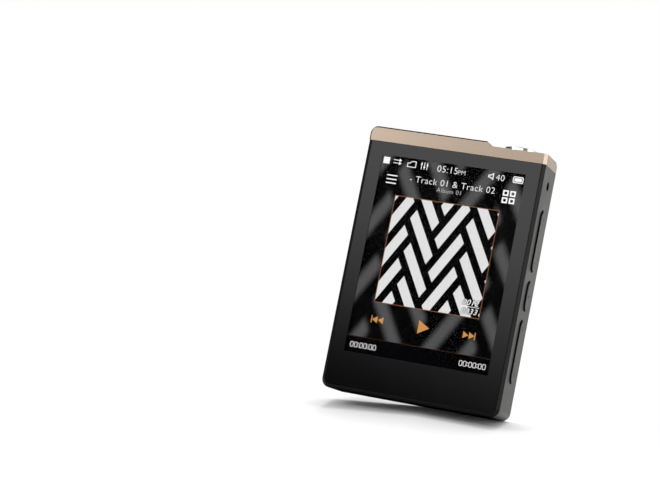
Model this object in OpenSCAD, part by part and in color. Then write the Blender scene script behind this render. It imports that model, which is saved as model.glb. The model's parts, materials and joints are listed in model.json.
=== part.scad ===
// Pocket digital audio player, standing on its bottom edge.
// X runs across the front and +X is the side with the keys, Y runs from the glass to the back,
// Z is up. The origin is the centre of the bottom face. All sizes are in millimetres.

/* [Case] */
// Width of the case, side to side
body_w = 53.1; // [53:0.1:70]
// Depth of the case, glass to back plate
body_d = 14.9; // [14.8:0.1:20]
// Height of the case with its cap
body_h = 77.1; // [77:0.1:95]
// Thickness of the side walls and the bottom wall
wall = 2; // [1.9:0.1:2.6]
// Radius of the two bottom corners
corner_r = 2.5; // [1.5:0.1:4]
// Thickness of the back plate
back_t = 1.1; // [1.05:0.05:1.5]
// Width of the back plate's bevel, seen from behind
back_bevel_w = 0.55; // [0.2:0.05:1]
// Depth of the back plate's bevel
back_bevel_d = 1; // [0.2:0.05:1]

/* [Cap] */
// Height of the cap's raised part
cap_h = 4.3; // [4:0.1:6]
// Height of the cap's lower part
cap_low_h = 3; // [2.8:0.1:3.5]
// Where the top of the step stands, from the case's centre
step_x = 8.4; // [7.5:0.1:9]
// Radius of the raised part's left corner
cap_corner_r = 2.2; // [1:0.1:3]
// Chamfer along the raised part's edges
cap_chamfer = 0.45; // [0.2:0.05:0.8]
// Drop of the facet behind the power button
facet_drop = 1.5; // [0.5:0.1:1.6]
// Depth of that facet, from the back
facet_d = 3.05; // [1:0.05:3.1]
// Thickness of the raised part's top wall
cap_top_wall = 1.9; // [1.5:0.1:2.2]

/* [Glass and screen] */
// Thickness of the front glass
glass_t = 0.7; // [0.5:0.05:1]
// Width and depth of the bevel round the glass
front_bevel = 0.9; // [0.4:0.05:1]
// Width of the display panel
panel_w = 45.8; // [44:0.1:46]
// Height of the display panel
panel_h = 61.3; // [58:0.1:61.5]
// Height of the panel's lower edge above the case's bottom
panel_z = 9.6; // [9.4:0.1:10]
// Thickness of the display panel
panel_t = 1.2; // [0.8:0.1:1.3]
// Thickness of the backlight unit
backlight_t = 1.3; // [0.8:0.1:1.4]
// Thickness of the touch sensor
touch_t = 0.3; // [0.15:0.05:0.35]
// Thickness of the display tray's sheet
tray_t = 0.3; // [0.2:0.05:0.35]
// Thickness of the foam behind the tray
foam_t = 0.3; // [0.2:0.05:0.5]
// Thickness of the mid frame
frame_t = 1; // [0.8:0.05:1.2]

/* [Keys] */
// Width of the key slots
slot_w = 4.2; // [3.8:0.1:4.3]
// Gap between a key and its slot, all round
key_gap = 0.4; // [0.3:0.05:0.5]
// How far the keys stand proud of the side
key_proud = 0.5; // [0.2:0.05:0.8]
// Middle of the keys, from the middle of the depth
key_y = -0.3; // [-0.6:0.05:0.2]
// Length of the volume rocker's slot
volume_len = 18.2; // [17:0.1:18.4]
// Height of the volume rocker's middle
volume_z = 51.7; // [51.6:0.1:52]
// Length of the play key's slot
play_len = 9; // [8:0.1:9.2]
// Height of the play key's middle
play_z = 35.8; // [35.7:0.1:35.9]
// Length of the skip rocker's slot
skip_len = 18.6; // [17:0.1:18.8]
// Height of the skip rocker's middle
skip_z = 19.7; // [19.6:0.1:19.8]
// Radius of the rockers' axles
axle_r = 0.5; // [0.4:0.05:0.6]
// Radial gap round axles and the door's pin
run_gap = 0.05; // [0.03:0.01:0.09]
// Free travel between a key's peg and its switch
key_travel = 0.35; // [0.3:0.05:0.5]
// Distance of a rocker's pegs from its axle
peg_reach = 6.4; // [6:0.1:6.6]

/* [Power button] */
// Diameter of the power button
power_dia = 9.7; // [8:0.1:9.8]
// Gap round the power button
power_gap = 0.2; // [0.1:0.05:0.3]
// Height of the power button above the cap's lower part
power_proud = 1.2; // [0.6:0.1:1.3]
// Middle of the power button, from the case's right side
power_inset = 9.45; // [9:0.05:10]
// Middle of the power button, from the middle of the depth
power_y = -0.7; // [-0.8:0.05:-0.6]
// Width of the carrier's flange beyond the button
flange_w = 0.6; // [0.4:0.05:0.7]

/* [Headphone jack] */
// Radius of the jack's bore
jack_bore_r = 1.8; // [1.78:0.01:1.85]
// Depth of the jack's bore
jack_bore_len = 14.4; // [14:0.1:15]
// Radius of the jack's round collar
jack_collar_r = 3; // [2.7:0.1:3]
// Width of the jack's body
jack_w = 6.4; // [6:0.1:6.6]
// Depth of the jack's body
jack_d = 4.8; // [4.4:0.1:4.8]
// Middle of the jack, from the case's left side
jack_inset = 12.55; // [12.5:0.05:13]
// Middle of the jack, from the middle of the depth
jack_y = 0.2; // [0:0.05:0.3]

/* [Sockets and door] */
// Length of the card door
door_len = 15.6; // [14:0.1:16]
// Width of the card door
door_w = 3.4; // [3:0.1:3.6]
// Thickness of the card door
door_t = 1.2; // [1.1:0.05:1.3]
// Gap round the card door
door_gap = 0.15; // [0.1:0.01:0.2]
// Height of the card door's middle
door_z = 50.9; // [50.5:0.1:52]
// Radius of the card door's pin
pin_r = 0.3; // [0.25:0.05:0.35]
// Width of a memory card
card_w = 11; // [11:0.1:11.2]
// Outer width of the USB socket
usb_w = 7.6; // [7.5:0.1:8]
// Outer depth of the USB socket
usb_d = 2.7; // [2.6:0.1:2.8]
// Length of the USB socket
usb_len = 5.2; // [5:0.1:5.4]

/* [Electronics] */
// Thickness of the main board
board_t = 0.8; // [0.6:0.1:1]
// Thickness of the battery
battery_t = 3.9; // [3:0.1:4]
// Width of the battery
battery_w = 35.2; // [30:0.1:36]
// Height of the battery
battery_h = 45; // [40:0.5:46]
// Diameter of the indicator's outer hole
lamp_dia = 2.7; // [2:0.1:2.8]
// Diameter of the indicator's light pipe
pipe_dia = 1.2; // [1:0.1:1.4]
// Depth of the indicator below the cap's seam
lamp_drop = 5.1; // [5:0.1:5.2]

/* [Screws] */
// Shank radius of the small screws
screw_r = 0.65; // [0.5:0.05:0.7]
// Head radius of the small screws
head_r = 1.2; // [1:0.05:1.3]
// Head height of the small screws
head_t = 0.5; // [0.4:0.05:0.6]
// Radius of the posts that take the screws
post_r = 1.6; // [1.5:0.05:1.7]

/* [Hidden] */
$fn = 48;
HULL_FN = 32;
fit = 0.1;        // gap between fixed pieces
hair = 0.05;      // smallest gap between fixed pieces
tape_t = 0.15;    // adhesive tape
over = 1;         // how far a cut runs past a face
hole_r = screw_r + hair;
tap_r = head_r + hair;    // recess of a screw's head

half_w = body_w / 2;
half_d = body_d / 2;
seam_z = body_h - cap_h;
low_z = seam_z + cap_low_h;
inner_x = half_w - wall;
frame_front_y = -half_d + front_bevel + 0.05;
back_plate_y = half_d - back_t;
inner_corner_r = corner_r - 1.5;

// Stack of layers, from the glass to the mid frame
glass_y = -half_d + glass_t;
ledge_y = glass_y + tape_t;
panel_y = glass_y + touch_t + hair;
backlight_y = panel_y + panel_t;
tray_y = backlight_y + backlight_t;
foam_y = tray_y + tray_t;
frame_y = foam_y + foam_t;
frame_back_y = frame_y + frame_t;
bezel_in_x = panel_w / 2 + 0.7;
bezel_in_z = panel_z - 1.4;
rabbet = 1;
glass_inset = front_bevel + 0.2;

// The board stands behind the mid frame, and the battery behind the board
board_y = frame_back_y + 3.3;
board_back_y = board_y + board_t;
board_top_z = seam_z - 4.4;
board_x0 = -inner_x + 0.7;
bay_x = inner_x - 4.95;        // right-hand limit of what stands beside the key module
battery_y = board_back_y + tape_t;
battery_x = -0.6;
battery_z = 10;

// Key module on the right wall
flange_t = 0.4;
flange_lap = 0.25;
key_face_x = half_w + key_proud;
rocker_flange_x = inner_x - 0.8;
axle_x = inner_x - 1.35;
key_board_x = inner_x - 3.15;
key_board_t = 0.4;
bracket_t = 0.5;
switch_top_x = key_board_x + key_board_t + 0.85;
key_board_y0 = key_y - 2.3;
key_board_y1 = key_y + 2.3;
key_board_z0 = 6.7;
boss_r = 1.4;             // bosses that take the bracket's screws
switch_half = 1.6;        // half height of a side switch
switch_base = 0.6;
plunger_r = 0.8;          // plungers of the switches, and the pegs that press them
bracket_z0 = 6.9;
bracket_z1 = seam_z - 8.2;
bracket_screw_z = [8.3, seam_z - 9.8];
arm_y = key_y + 2.55;
arm_t = 0.4;
arm_half = 1.6;
arm_ring_r = 1.05;
axle_half = arm_y - key_y + arm_t;
lamp_z = seam_z - lamp_drop;
lamp_y = key_y + 0.1;

// Top shelf of the mid frame, under the cap
shelf_z0 = seam_z - 3.2;
shelf_z1 = seam_z - 2.2;
shelf_x0 = -8;
shelf_y1 = frame_back_y + 5.2;
cap_screw_x = [-4, 5.6];
cap_screw_y = frame_back_y + 2.2;
power_x = half_w - power_inset;
shelf_x1 = power_x + 3.6;
cap_post_r = post_r + 0.1;
cap_tab_t = 0.9;

// Power button: its base, the carrier's stem inside it, and the flange below the cap's shoulder
button_base_z = seam_z + 1.9;
button_edge = 0.25;
stem_r = 2;
stem_top_z = seam_z + 2.7;
flange_r = power_dia / 2 + flange_w;
flange_z0 = seam_z + 0.95;
flange_z1 = seam_z + 1.6;
shoulder_z = seam_z + 1.7;
foot_r = 1.2;
foot_z = seam_z - 0.15;
power_board_t = 0.4;

// Screws that hold the mid frame to the case: x, z
frame_screws_at = [
    [-inner_x + 2.15, 5.2],
    [-inner_x + 2.15, 36],
    [-inner_x + 2.15, seam_z - 3.8],
    [inner_x - 1.85, 4.8],
    [inner_x - 1.85, seam_z - 2],
];
// Screws that hold the board to the mid frame: x, z
board_screws_at = [[-14, 5.6], [14, 5.6], [-4, seam_z - 8.3], [15.5, seam_z - 8.3]];

jack_x = -half_w + jack_inset;
jack_top_z = seam_z + cap_h - cap_top_wall - fit;
jack_end_z = body_h - fit;
jack_bottom_z = jack_end_z - jack_bore_len - 1.2;
jack_contact_pitch = 2.6;

door_pivot_x = -half_w + 0.7;
door_pivot_r = 1.2;
door_pivot_z = door_z - door_len / 2 + door_pivot_r;
card_y = key_y + 0.05;
card_socket_x = -inner_x + 0.2;
card_socket_l = 14.8;
card_wall = 1.2;               // end wall of the card socket's base
card_sheet = 0.2;
card_contact_count = 8;
card_contact_pitch = 1.1;
pin_run = 1.5;                 // how far the door's pin runs into the wall at each end
usb_y = board_y - usb_d / 2;
usb_recess = 0.2;
flex_z = panel_z - 1;
display_flex_x = [-6, 6];
touch_flex_x = [9, 14];
flex_end_y = board_y - 0.9;    // front faces of the sockets that take the flexes
audio_chip_z = seam_z - 16.3;

// Seats of the bezel and of the back plate's adhesive in the case
bezel_seat = 0.6;
glue_seat_w = 1.2;
glue_seat_t = 0.1;
lamp_sink = 0.6;               // depth of the countersink round the light pipe

// The battery's pouch, protection circuit and leads
pouch_r = 1.5;
circuit_h = 3;
battery_socket_z = [seam_z - 13.2, seam_z - 10.2];

// ---------------------------------------------------------------- helpers

// A box between two corners
module block(x, y, z) {
    translate([x[0], y[0], z[0]]) cube([x[1] - x[0], y[1] - y[0], z[1] - z[0]]);
}

// Extrudes an outline in X and Z from y0 to y1
module along_y(y0, y1) {
    translate([0, y1, 0]) rotate([90, 0, 0]) linear_extrude(y1 - y0) children();
}

// Extrudes an outline in Y and Z from x0 to x1
module along_x(x0, x1) {
    translate([x0, 0, 0]) rotate([90, 0, 90]) linear_extrude(x1 - x0) children();
}

// A rod along Y
module rod_y(x, y0, y1, z, r) {
    translate([x, y0, z]) rotate([-90, 0, 0]) cylinder(h = y1 - y0, r = r);
}

// A rod along X
module rod_x(x0, x1, y, z, r) {
    translate([x0, y, z]) rotate([0, 90, 0]) cylinder(h = x1 - x0, r = r);
}

// A rod along Z
module rod_z(x, y, z0, z1, r) {
    translate([x, y, z0]) cylinder(h = z1 - z0, r = r);
}

// Outline of the case from the front: round bottom corners and a flat top
module case_outline(half, bottom, top, r) {
    translate([-half, bottom + r]) square([2 * half, top - bottom - r]);
    translate([-half + r, bottom]) square([2 * (half - r), r]);
    for (side = [-1, 1]) translate([side * (half - r), bottom + r]) circle(r);
}

// Outline of a slot or key, standing on end in Y and Z
module stadium(y, z, w, len) {
    translate([y - w / 2, z - len / 2 + w / 2]) square([w, len - w]);
    for (end = [-1, 1]) translate([y, z + end * (len - w) / 2]) circle(w / 2);
}

// A small pan-head screw that points along +Z, with its head's underside at the origin
module screw(len) {
    cross_half = 0.7;
    cross_w = 0.26;
    cross_depth = 0.3;
    difference() {
        union() {
            translate([0, 0, -head_t]) cylinder(h = head_t, r = head_r);
            cylinder(h = len, r = screw_r);
        }
        for (turn = [0, 90]) rotate(turn)
            block([-cross_half, cross_half], [-cross_w / 2, cross_w / 2],
                [-head_t - over, cross_depth - head_t]);
    }
}

// ---------------------------------------------------------------- case

module main_housing() {
    boss_x = key_board_x + key_board_t;
    web_half = 0.8;
    seat_w = glue_seat_w + 0.2;
    blind = 0.4;          // solid end of the posts' holes
    color("#6b6962") difference() {
        union() {
            difference() {
                along_y(frame_front_y, back_plate_y) case_outline(half_w, 0, seam_z, corner_r);
                along_y(frame_front_y - over, back_plate_y + over)
                    case_outline(inner_x, wall, seam_z + over, inner_corner_r);
            }
            for (at = frame_screws_at) {
                rod_y(at[0], frame_back_y, board_y - fit, at[1], post_r);
                block(at[0] < 0 ? [-inner_x - hair, at[0]] : [at[0], inner_x + hair],
                    [frame_back_y, board_y - fit], [at[1] - web_half, at[1] + web_half]);
            }
            for (z = bracket_screw_z) rod_x(boss_x, inner_x + hair, key_y, z, boss_r);
        }
        for (at = frame_screws_at)
            rod_y(at[0], frame_back_y - over, board_y - fit - blind, at[1], hole_r);
        for (z = bracket_screw_z) rod_x(boss_x - over, inner_x + 0.6, key_y, z, hole_r);
        // rabbet for the bezel, and a shallow one for the back plate's adhesive
        along_y(frame_front_y - over, frame_front_y + bezel_seat + hair)
            case_outline(inner_x + rabbet, wall - rabbet, seam_z + over, inner_corner_r + rabbet);
        along_y(back_plate_y - glue_seat_t, back_plate_y + over)
            case_outline(inner_x + seat_w, wall - seat_w, seam_z + over, inner_corner_r + seat_w);
        // key slots
        along_x(inner_x - over, half_w + over) {
            stadium(key_y, volume_z, slot_w, volume_len);
            stadium(key_y, play_z, slot_w, play_len);
            stadium(key_y, skip_z, slot_w, skip_len);
        }
        // indicator: light pipe bore and its countersink
        rod_x(inner_x - over, half_w + over, lamp_y, lamp_z, pipe_dia / 2 + hair);
        translate([half_w - lamp_sink, lamp_y, lamp_z]) rotate([0, 90, 0])
            cylinder(h = lamp_sink + 0.01, r1 = pipe_dia / 2 + 0.25, r2 = lamp_dia / 2);
        // card slot, with the bore of the door's pin
        along_x(-half_w - over, -inner_x + over)
            door_outline(door_gap);
        card_door_pin_rod();
        // USB opening in the bottom wall
        translate([0, 0, -over]) linear_extrude(wall + 2 * over)
            usb_outline(fit);
    }
}

// Ring of plastic that carries the glass, with the bevel that shows round it
module front_bezel() {
    lip_x = half_w - glass_inset + fit;
    color("#141414") difference() {
        union() {
            hull() {
                $fn = HULL_FN;
                along_y(-half_d + front_bevel, frame_front_y)
                    case_outline(half_w, 0, seam_z, corner_r);
                along_y(-half_d, -half_d + front_bevel)
                    case_outline(half_w - front_bevel, front_bevel, seam_z, corner_r - front_bevel);
            }
            along_y(frame_front_y - hair, frame_front_y + bezel_seat)
                case_outline(inner_x + rabbet - fit, wall - rabbet + fit, seam_z,
                    inner_corner_r + rabbet - fit);
        }
        along_y(-half_d - over, ledge_y)
            case_outline(lip_x, glass_inset - fit, seam_z + over, corner_r - glass_inset + fit);
        block([-bezel_in_x, bezel_in_x], [-half_d - over, frame_front_y + over],
            [bezel_in_z, seam_z - 1]);
    }
}

module front_window() {
    color("#1c1c1e") along_y(-half_d, glass_y)
        case_outline(half_w - glass_inset, glass_inset, seam_z - fit, corner_r - glass_inset);
}

module window_adhesive() {
    inset = glass_inset + 0.2;
    color("#202020") difference() {
        along_y(glass_y, ledge_y)
            case_outline(half_w - inset, inset, seam_z - 0.3, corner_r - inset);
        block([-bezel_in_x - 0.1, bezel_in_x + 0.1], [glass_y - over, ledge_y + over],
            [bezel_in_z - 0.1, seam_z - 0.9]);
    }
}

// Outline of the cap's raised part in X and Z; inset lowers the top and moves the left side in
module raised_outline(inset) {
    r = cap_corner_r - inset;
    cx = -half_w + cap_corner_r;
    cz = body_h - cap_corner_r;
    polygon(concat(
        [[-half_w + inset, seam_z]],
        [for (a = [180:-7.5:90]) [cx + r * cos(a), cz + r * sin(a)]],
        [[step_x + inset, body_h - inset], [step_x + cap_h, seam_z]]
    ));
}

module top_cap() {
    rim_x = inner_x - fit;
    pocket_z = body_h - cap_top_wall;
    color("#c8b29b") difference() {
        union() {
            // lower part, with the facet at the back and the bevels on the right
            intersection() {
                along_x(step_x, half_w) polygon([
                    [-half_d, seam_z], [half_d, seam_z], [half_d, low_z - facet_drop],
                    [half_d - facet_d, low_z], [-half_d, low_z],
                ]);
                translate([0, 0, seam_z - over]) linear_extrude(cap_h + 2 * over) polygon([
                    [step_x - over, -half_d], [half_w - front_bevel, -half_d],
                    [half_w, -half_d + front_bevel], [half_w, half_d - back_bevel_d],
                    [half_w - back_bevel_w, half_d], [step_x - over, half_d],
                ]);
            }
            // raised part
            hull() {
                along_y(-half_d + cap_chamfer, half_d - cap_chamfer) raised_outline(0);
                along_y(-half_d, half_d) raised_outline(cap_chamfer);
            }
            // posts for the cap screws, and locating tabs inside the side walls
            for (x = cap_screw_x) rod_z(x, cap_screw_y, shelf_z1, seam_z + hair, cap_post_r);
            block([-rim_x, -rim_x + cap_tab_t], [frame_back_y + 0.4, back_plate_y - 1],
                [seam_z - cap_tab_t, seam_z + hair]);
        }
        // bevel on the left of the back
        translate([-half_w, half_d, seam_z - over]) linear_extrude(cap_h + 2 * over) polygon([
            [-over, -back_bevel_d - over * back_bevel_d / back_bevel_w],
            [back_bevel_w + over, over * back_bevel_d / back_bevel_w], [-over, over + 2],
        ]);
        // pocket and hole for the headphone jack
        block([-inner_x + 1.2, shelf_x0 + 2], [frame_y + 0.3, back_plate_y - 0.6],
            [seam_z - over, pocket_z]);
        rod_z(jack_x, jack_y, pocket_z - over, body_h + over, jack_collar_r + hair);
        // bore and counterbore for the power button
        rod_z(power_x, power_y, seam_z - over, body_h + over, power_dia / 2 + power_gap);
        rod_z(power_x, power_y, seam_z - over, shoulder_z, flange_r + power_gap);
        for (x = cap_screw_x) rod_z(x, cap_screw_y, shelf_z1 - over, seam_z + 1.5, hole_r);
    }
}

module back_plate() {
    color("#26262a") hull() {
        $fn = HULL_FN;
        along_y(back_plate_y, half_d - back_bevel_d) case_outline(half_w, 0, seam_z, corner_r);
        along_y(back_plate_y, half_d)
            case_outline(half_w - back_bevel_w, back_bevel_w, seam_z, corner_r - back_bevel_w);
    }
}

module back_adhesive() {
    color("#202020") difference() {
        along_y(back_plate_y - glue_seat_t, back_plate_y)
            case_outline(inner_x + glue_seat_w, wall - glue_seat_w, seam_z - fit,
                inner_corner_r + glue_seat_w);
        along_y(back_plate_y - over, back_plate_y + over)
            case_outline(inner_x + fit, wall - fit, seam_z + over, inner_corner_r + fit);
    }
}

// ---------------------------------------------------------------- screen

module touch_sensor() {
    border = 0.3;
    x = panel_w / 2 + border;
    color("#2e3440") block([-x, x], [glass_y, glass_y + touch_t],
        [flex_z - 0.1, panel_z + panel_h + border]);
}

module display_panel() {
    color("#0a0a0c") block([-panel_w / 2, panel_w / 2], [panel_y, backlight_y],
        [panel_z, panel_z + panel_h]);
}

module backlight_unit() {
    color("white") block([-panel_w / 2, panel_w / 2], [backlight_y, tray_y],
        [panel_z, panel_z + panel_h]);
}

// Folded sheet tray round the panel and the backlight, open at the bottom for the flex
module display_tray() {
    x = panel_w / 2 + hair;
    z0 = panel_z - hair;
    z1 = panel_z + panel_h + hair;
    flex_x = display_flex_x[1] + 1;
    color("silver") difference() {
        block([-x - tray_t, x + tray_t], [panel_y + 0.2, foam_y], [z0 - tray_t, z1 + tray_t]);
        block([-x, x], [panel_y - over, tray_y], [z0, z1]);
        block([-flex_x, flex_x], [panel_y - over, tray_y], [z0 - over, z0 + over]);
    }
}

module display_foam() {
    half = 19;
    strip = 4;
    z = [panel_z + 2, panel_z + panel_h - 2];
    color("#3a3a3a") difference() {
        block([-half, half], [foam_y, frame_y], z);
        block([strip - half, half - strip], [foam_y - over, frame_y + over],
            [z[0] + strip, z[1] - strip]);
    }
}

// ---------------------------------------------------------------- structure and boards

// Plate behind the screen, with a shelf under the cap and posts for the board
module mid_frame() {
    slot_gap = 0.6;
    color("#9a9da0") difference() {
        union() {
            along_y(frame_y, frame_back_y)
                case_outline(inner_x - fit, wall + fit, seam_z - 0.2, inner_corner_r);
            block([shelf_x0, shelf_x1], [frame_y, shelf_y1], [shelf_z0, shelf_z1]);
            for (at = board_screws_at) rod_y(at[0], frame_back_y - hair, board_y, at[1], post_r);
        }
        // clear of the key module, and slots for the two flexes
        block([bay_x + fit, inner_x + over], [frame_y - over, frame_back_y + over],
            [key_board_z0 - 0.2, lamp_z + 1.6]);
        for (x = [display_flex_x, touch_flex_x])
            block([x[0] - slot_gap, x[1] + slot_gap], [frame_y - over, frame_back_y + over],
                [flex_z - 0.4, flex_z + 0.8]);
        for (at = frame_screws_at) {
            rod_y(at[0], frame_y - over, frame_back_y + over, at[1], hole_r);
            rod_y(at[0], frame_y - over, frame_y + head_t + hair, at[1], tap_r);
        }
        for (at = board_screws_at) rod_y(at[0], frame_y + 0.4, board_y + over, at[1], hole_r);
        for (x = cap_screw_x) rod_z(x, cap_screw_y, shelf_z0 - over, shelf_z1 + over, hole_r);
    }
}

module main_board() {
    notch_gap = 0.3;      // round the headphone jack
    color("#1d4a34") difference() {
        block([board_x0, bay_x], [board_y, board_back_y], [wall + 0.9, board_top_z]);
        block([jack_x - jack_w / 2 - notch_gap, jack_x + jack_w / 2 + notch_gap],
            [board_y - over, board_back_y + over], [jack_bottom_z - notch_gap, board_top_z + over]);
        for (at = board_screws_at)
            rod_y(at[0], board_y - over, board_back_y + over, at[1], screw_r + fit);
    }
}

// A chip on the board's front face, with its corner mark
module chip(x, z, w, h, t) {
    mark_in = 1.2;
    mark_r = 0.4;
    difference() {
        block([x - w / 2, x + w / 2], [board_y - t, board_y], [z - h / 2, z + h / 2]);
        rod_y(x - w / 2 + mark_in, board_y - t - over, board_y - t + 0.1, z + h / 2 - mark_in,
            mark_r);
    }
}

module processor_chip() { color("#2a2a2c") chip(4, 40, 12, 12, 1.1); }

module memory_chip() { color("#303032") chip(4, 22, 12, 14, 1); }

module audio_chip() { color("#2a2a2c") chip(1, audio_chip_z, 7, 7, 0.9); }

module power_chip() { color("#2a2a2c") chip(-10, 18, 6, 6, 0.9); }

// Two clock crystals beside the processor
module clock_crystals() {
    color("#c9c9cc") for (z = [34, 46])
        block([13.2, 16.4], [board_y - 0.8, board_y], [z - 1.2, z + 1.2]);
}

// Rows of capacitors: x, z and how many stand side by side
module board_capacitors() {
    pitch = 1.8;
    size = [0.8, 0.7, 1.5];
    color("#b08a5a") for (row = [[-14, 10, 4], [-4, 13.5, 5], [-6, 30, 4], [13.5, 52, 3]])
        for (i = [0:row[2] - 1])
            translate([row[0] + pitch * i, board_y - size[1], row[1]]) cube(size);
}

// Pressed lid over the audio chip
module shield_can() {
    x = [-5, 7];
    z = [audio_chip_z - 5, audio_chip_z + 5];
    sheet = 0.2;
    height = 1.5;
    vent_r = 0.5;
    color("#c4c6c8") difference() {
        block(x, [board_y - height, board_y], z);
        block([x[0] + sheet, x[1] - sheet], [board_y - height + sheet, board_y + over],
            [z[0] + sheet, z[1] - sheet]);
        for (hole = [-3, 0, 3]) rod_y(1 + hole, board_y - height - over, board_y - 1,
            audio_chip_z, vent_r);
    }
}

// Sockets for the two flexes on the front face, and for the battery on the back face
module board_connectors() {
    rim = 0.4;
    color("#d9d2bd") {
        for (x = [display_flex_x, touch_flex_x])
            block([x[0] - rim, x[1] + rim], [flex_end_y, board_y], [flex_z - 0.6, flex_z + 1.2]);
        block([4, 9], [board_back_y, board_back_y + 1.6], battery_socket_z);
    }
}

module display_flex() {
    y = panel_y + 0.5;
    color("#a8672c") union() {
        block(display_flex_x, [y, flex_end_y], [flex_z - 0.1, flex_z + 0.1]);
        block(display_flex_x, [y, y + 0.2], [flex_z - 0.1, panel_z]);
    }
}

module touch_flex() {
    color("#a8672c") block(touch_flex_x, [glass_y + touch_t, flex_end_y],
        [flex_z - 0.1, flex_z + 0.05]);
}

// ---------------------------------------------------------------- sockets

module headphone_jack() {
    x = [jack_x - jack_w / 2, jack_x + jack_w / 2];
    y = [jack_y - jack_d / 2, jack_y + jack_d / 2];
    color("#17171a") difference() {
        union() {
            block(x, y, [jack_bottom_z, jack_top_z]);
            rod_z(jack_x, jack_y, jack_top_z - hair, jack_end_z, jack_collar_r);
        }
        rod_z(jack_x, jack_y, jack_end_z - jack_bore_len, jack_end_z + over, jack_bore_r);
        // windows for the contacts
        for (z = jack_contact_z()) block([jack_x - jack_w / 2 - over, jack_x],
            [jack_y - 0.5, jack_y + 0.5], [z - 0.7, z + 0.7]);
    }
}

function jack_contact_z() =
    [for (step = [0:3]) jack_end_z - jack_bore_len + 1.6 + jack_contact_pitch * step];

// Leaf springs that touch the plug through the jack's windows
module jack_contacts() {
    tip_x = jack_x - jack_bore_r + 0.15;
    y = [jack_y - 0.4, jack_y + 0.4];
    leaf = 0.3;
    color("#c9a45a") for (z = jack_contact_z()) union() {
        block([jack_x - jack_w / 2 - 0.2, tip_x], y, [z - leaf / 2, z + leaf / 2]);
        block([tip_x - leaf, tip_x], y, [z - 0.5, z + 0.5]);
    }
}

// Outline of the USB socket from below: two lower corners are cut off at a slant
module usb_outline(grow) {
    x = usb_w / 2 + grow;
    y = usb_d / 2 + grow;
    cut = [0.9, 1.1];
    translate([0, usb_y]) polygon([
        [cut[0] - x, -y], [x - cut[0], -y], [x, cut[1] - y], [x, y], [-x, y], [-x, cut[1] - y],
    ]);
}

module usb_shell() {
    sheet = 0.25;
    color("#b9bbbe") difference() {
        translate([0, 0, usb_recess]) linear_extrude(usb_len) usb_outline(0);
        translate([0, 0, usb_recess - over]) linear_extrude(usb_len - 0.4 + over)
            usb_outline(-sheet);
    }
}

module usb_tongue() {
    half = 2.8;
    color("#1b1b1b") block([-half, half], [usb_y - 0.45, usb_y + 0.15],
        [usb_recess + 1, usb_len - 0.2]);
}

// Plastic base of the card socket, with a rail on each side of the card
module card_socket_base() {
    x = [card_socket_x, card_socket_x + card_socket_l];
    half = card_w / 2 + 0.1;
    color("#202022") difference() {
        block(x, [card_y - 0.55, board_y], [door_z - half - 1.5, door_z + half + 1.5]);
        block([x[0] - over, x[1] - card_wall], [card_y - over, card_y + 0.55],
            [door_z - half, door_z + half]);
        // recesses for the contacts
        for (z = card_contact_z()) block([x[1] - 5, x[1] - card_wall], [card_y, card_y + 0.7],
            [z - 0.25, z + 0.25]);
    }
}

function card_contact_z() = [for (i = [0:card_contact_count - 1])
    door_z + card_contact_pitch * (i - (card_contact_count - 1) / 2)];

// Steel cover of the card socket, folded down at both sides
module card_socket_cover() {
    x = [card_socket_x, card_socket_x + card_socket_l];
    outer = card_w / 2 + 1.8;
    y0 = card_y - 0.75;
    color("#c4c6c8") difference() {
        block(x, [y0, board_y], [door_z - outer, door_z + outer]);
        block([x[0] - over, x[1] + over], [y0 + card_sheet, board_y + over],
            [door_z - outer + card_sheet, door_z + outer - card_sheet]);
    }
}

module card_contacts() {
    x1 = card_socket_x + card_socket_l - card_wall;
    color("#d0a94e") for (z = card_contact_z())
        block([x1 - 3.7, x1 - 0.1], [card_y + 0.45, card_y + 0.65], [z - 0.2, z + 0.2]);
}

// ---------------------------------------------------------------- battery

// Pouch cell with its protection circuit folded over at the top
module battery() {
    y = [battery_y, battery_y + battery_t];
    x = [battery_x - battery_w / 2, battery_x + battery_w / 2];
    color("#8f9296") union() {
        translate([battery_x, 0, battery_z]) linear_extrude(battery_h)
            union() {
                translate([-battery_w / 2 + pouch_r, y[0]])
                    square([battery_w - 2 * pouch_r, battery_t]);
                translate([-battery_w / 2, y[0] + pouch_r])
                    square([battery_w, battery_t - 2 * pouch_r]);
                for (sx = [-1, 1]) for (sy = [y[0] + pouch_r, y[1] - pouch_r])
                    translate([sx * (battery_w / 2 - pouch_r), sy]) circle(pouch_r);
            }
        block([x[0] + 1, x[1] - 1], [y[0] + 0.6, y[0] + 2.4],
            [battery_z + battery_h - hair, battery_z + battery_h + circuit_h]);
    }
}

module battery_tape() {
    size = [24, tape_t, 6];
    color("#d8d8d4") for (z = [battery_z + 4, battery_z + battery_h - 4 - size[2]])
        translate([battery_x - size[0] / 2, board_back_y, z]) cube(size);
}

// Two insulated leads from the protection circuit to the board's connector
module battery_leads() {
    z0 = battery_z + battery_h + circuit_h;
    lead_r = 0.4;
    color("#a02820") for (x = [5.6, 7.4])
        rod_z(x, board_back_y + 0.9, z0, battery_socket_z[0], lead_r);
}

// ---------------------------------------------------------------- key module

module side_key_board() {
    color("#1d4a34") difference() {
        block([key_board_x, key_board_x + key_board_t], [key_board_y0, key_board_y1],
            [key_board_z0, lamp_z + 1.3]);
        for (z = bracket_screw_z) rod_x(key_board_x - over, key_board_x + over, key_y, z, hole_r);
    }
}

// Heights of the five switches: previous, next, play, quieter, louder
function switch_z() =
    [skip_z - peg_reach, skip_z + peg_reach, play_z, volume_z - peg_reach, volume_z + peg_reach];

module side_switches() {
    x = key_board_x + key_board_t;
    color("#c4c6c8") for (z = switch_z()) union() {
        block([x, x + switch_base], [key_y - 1.5, key_y + 1.5],
            [z - switch_half, z + switch_half]);
        rod_x(x + switch_base - 0.1, switch_top_x, key_y, z, plunger_r);
    }
}

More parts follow.
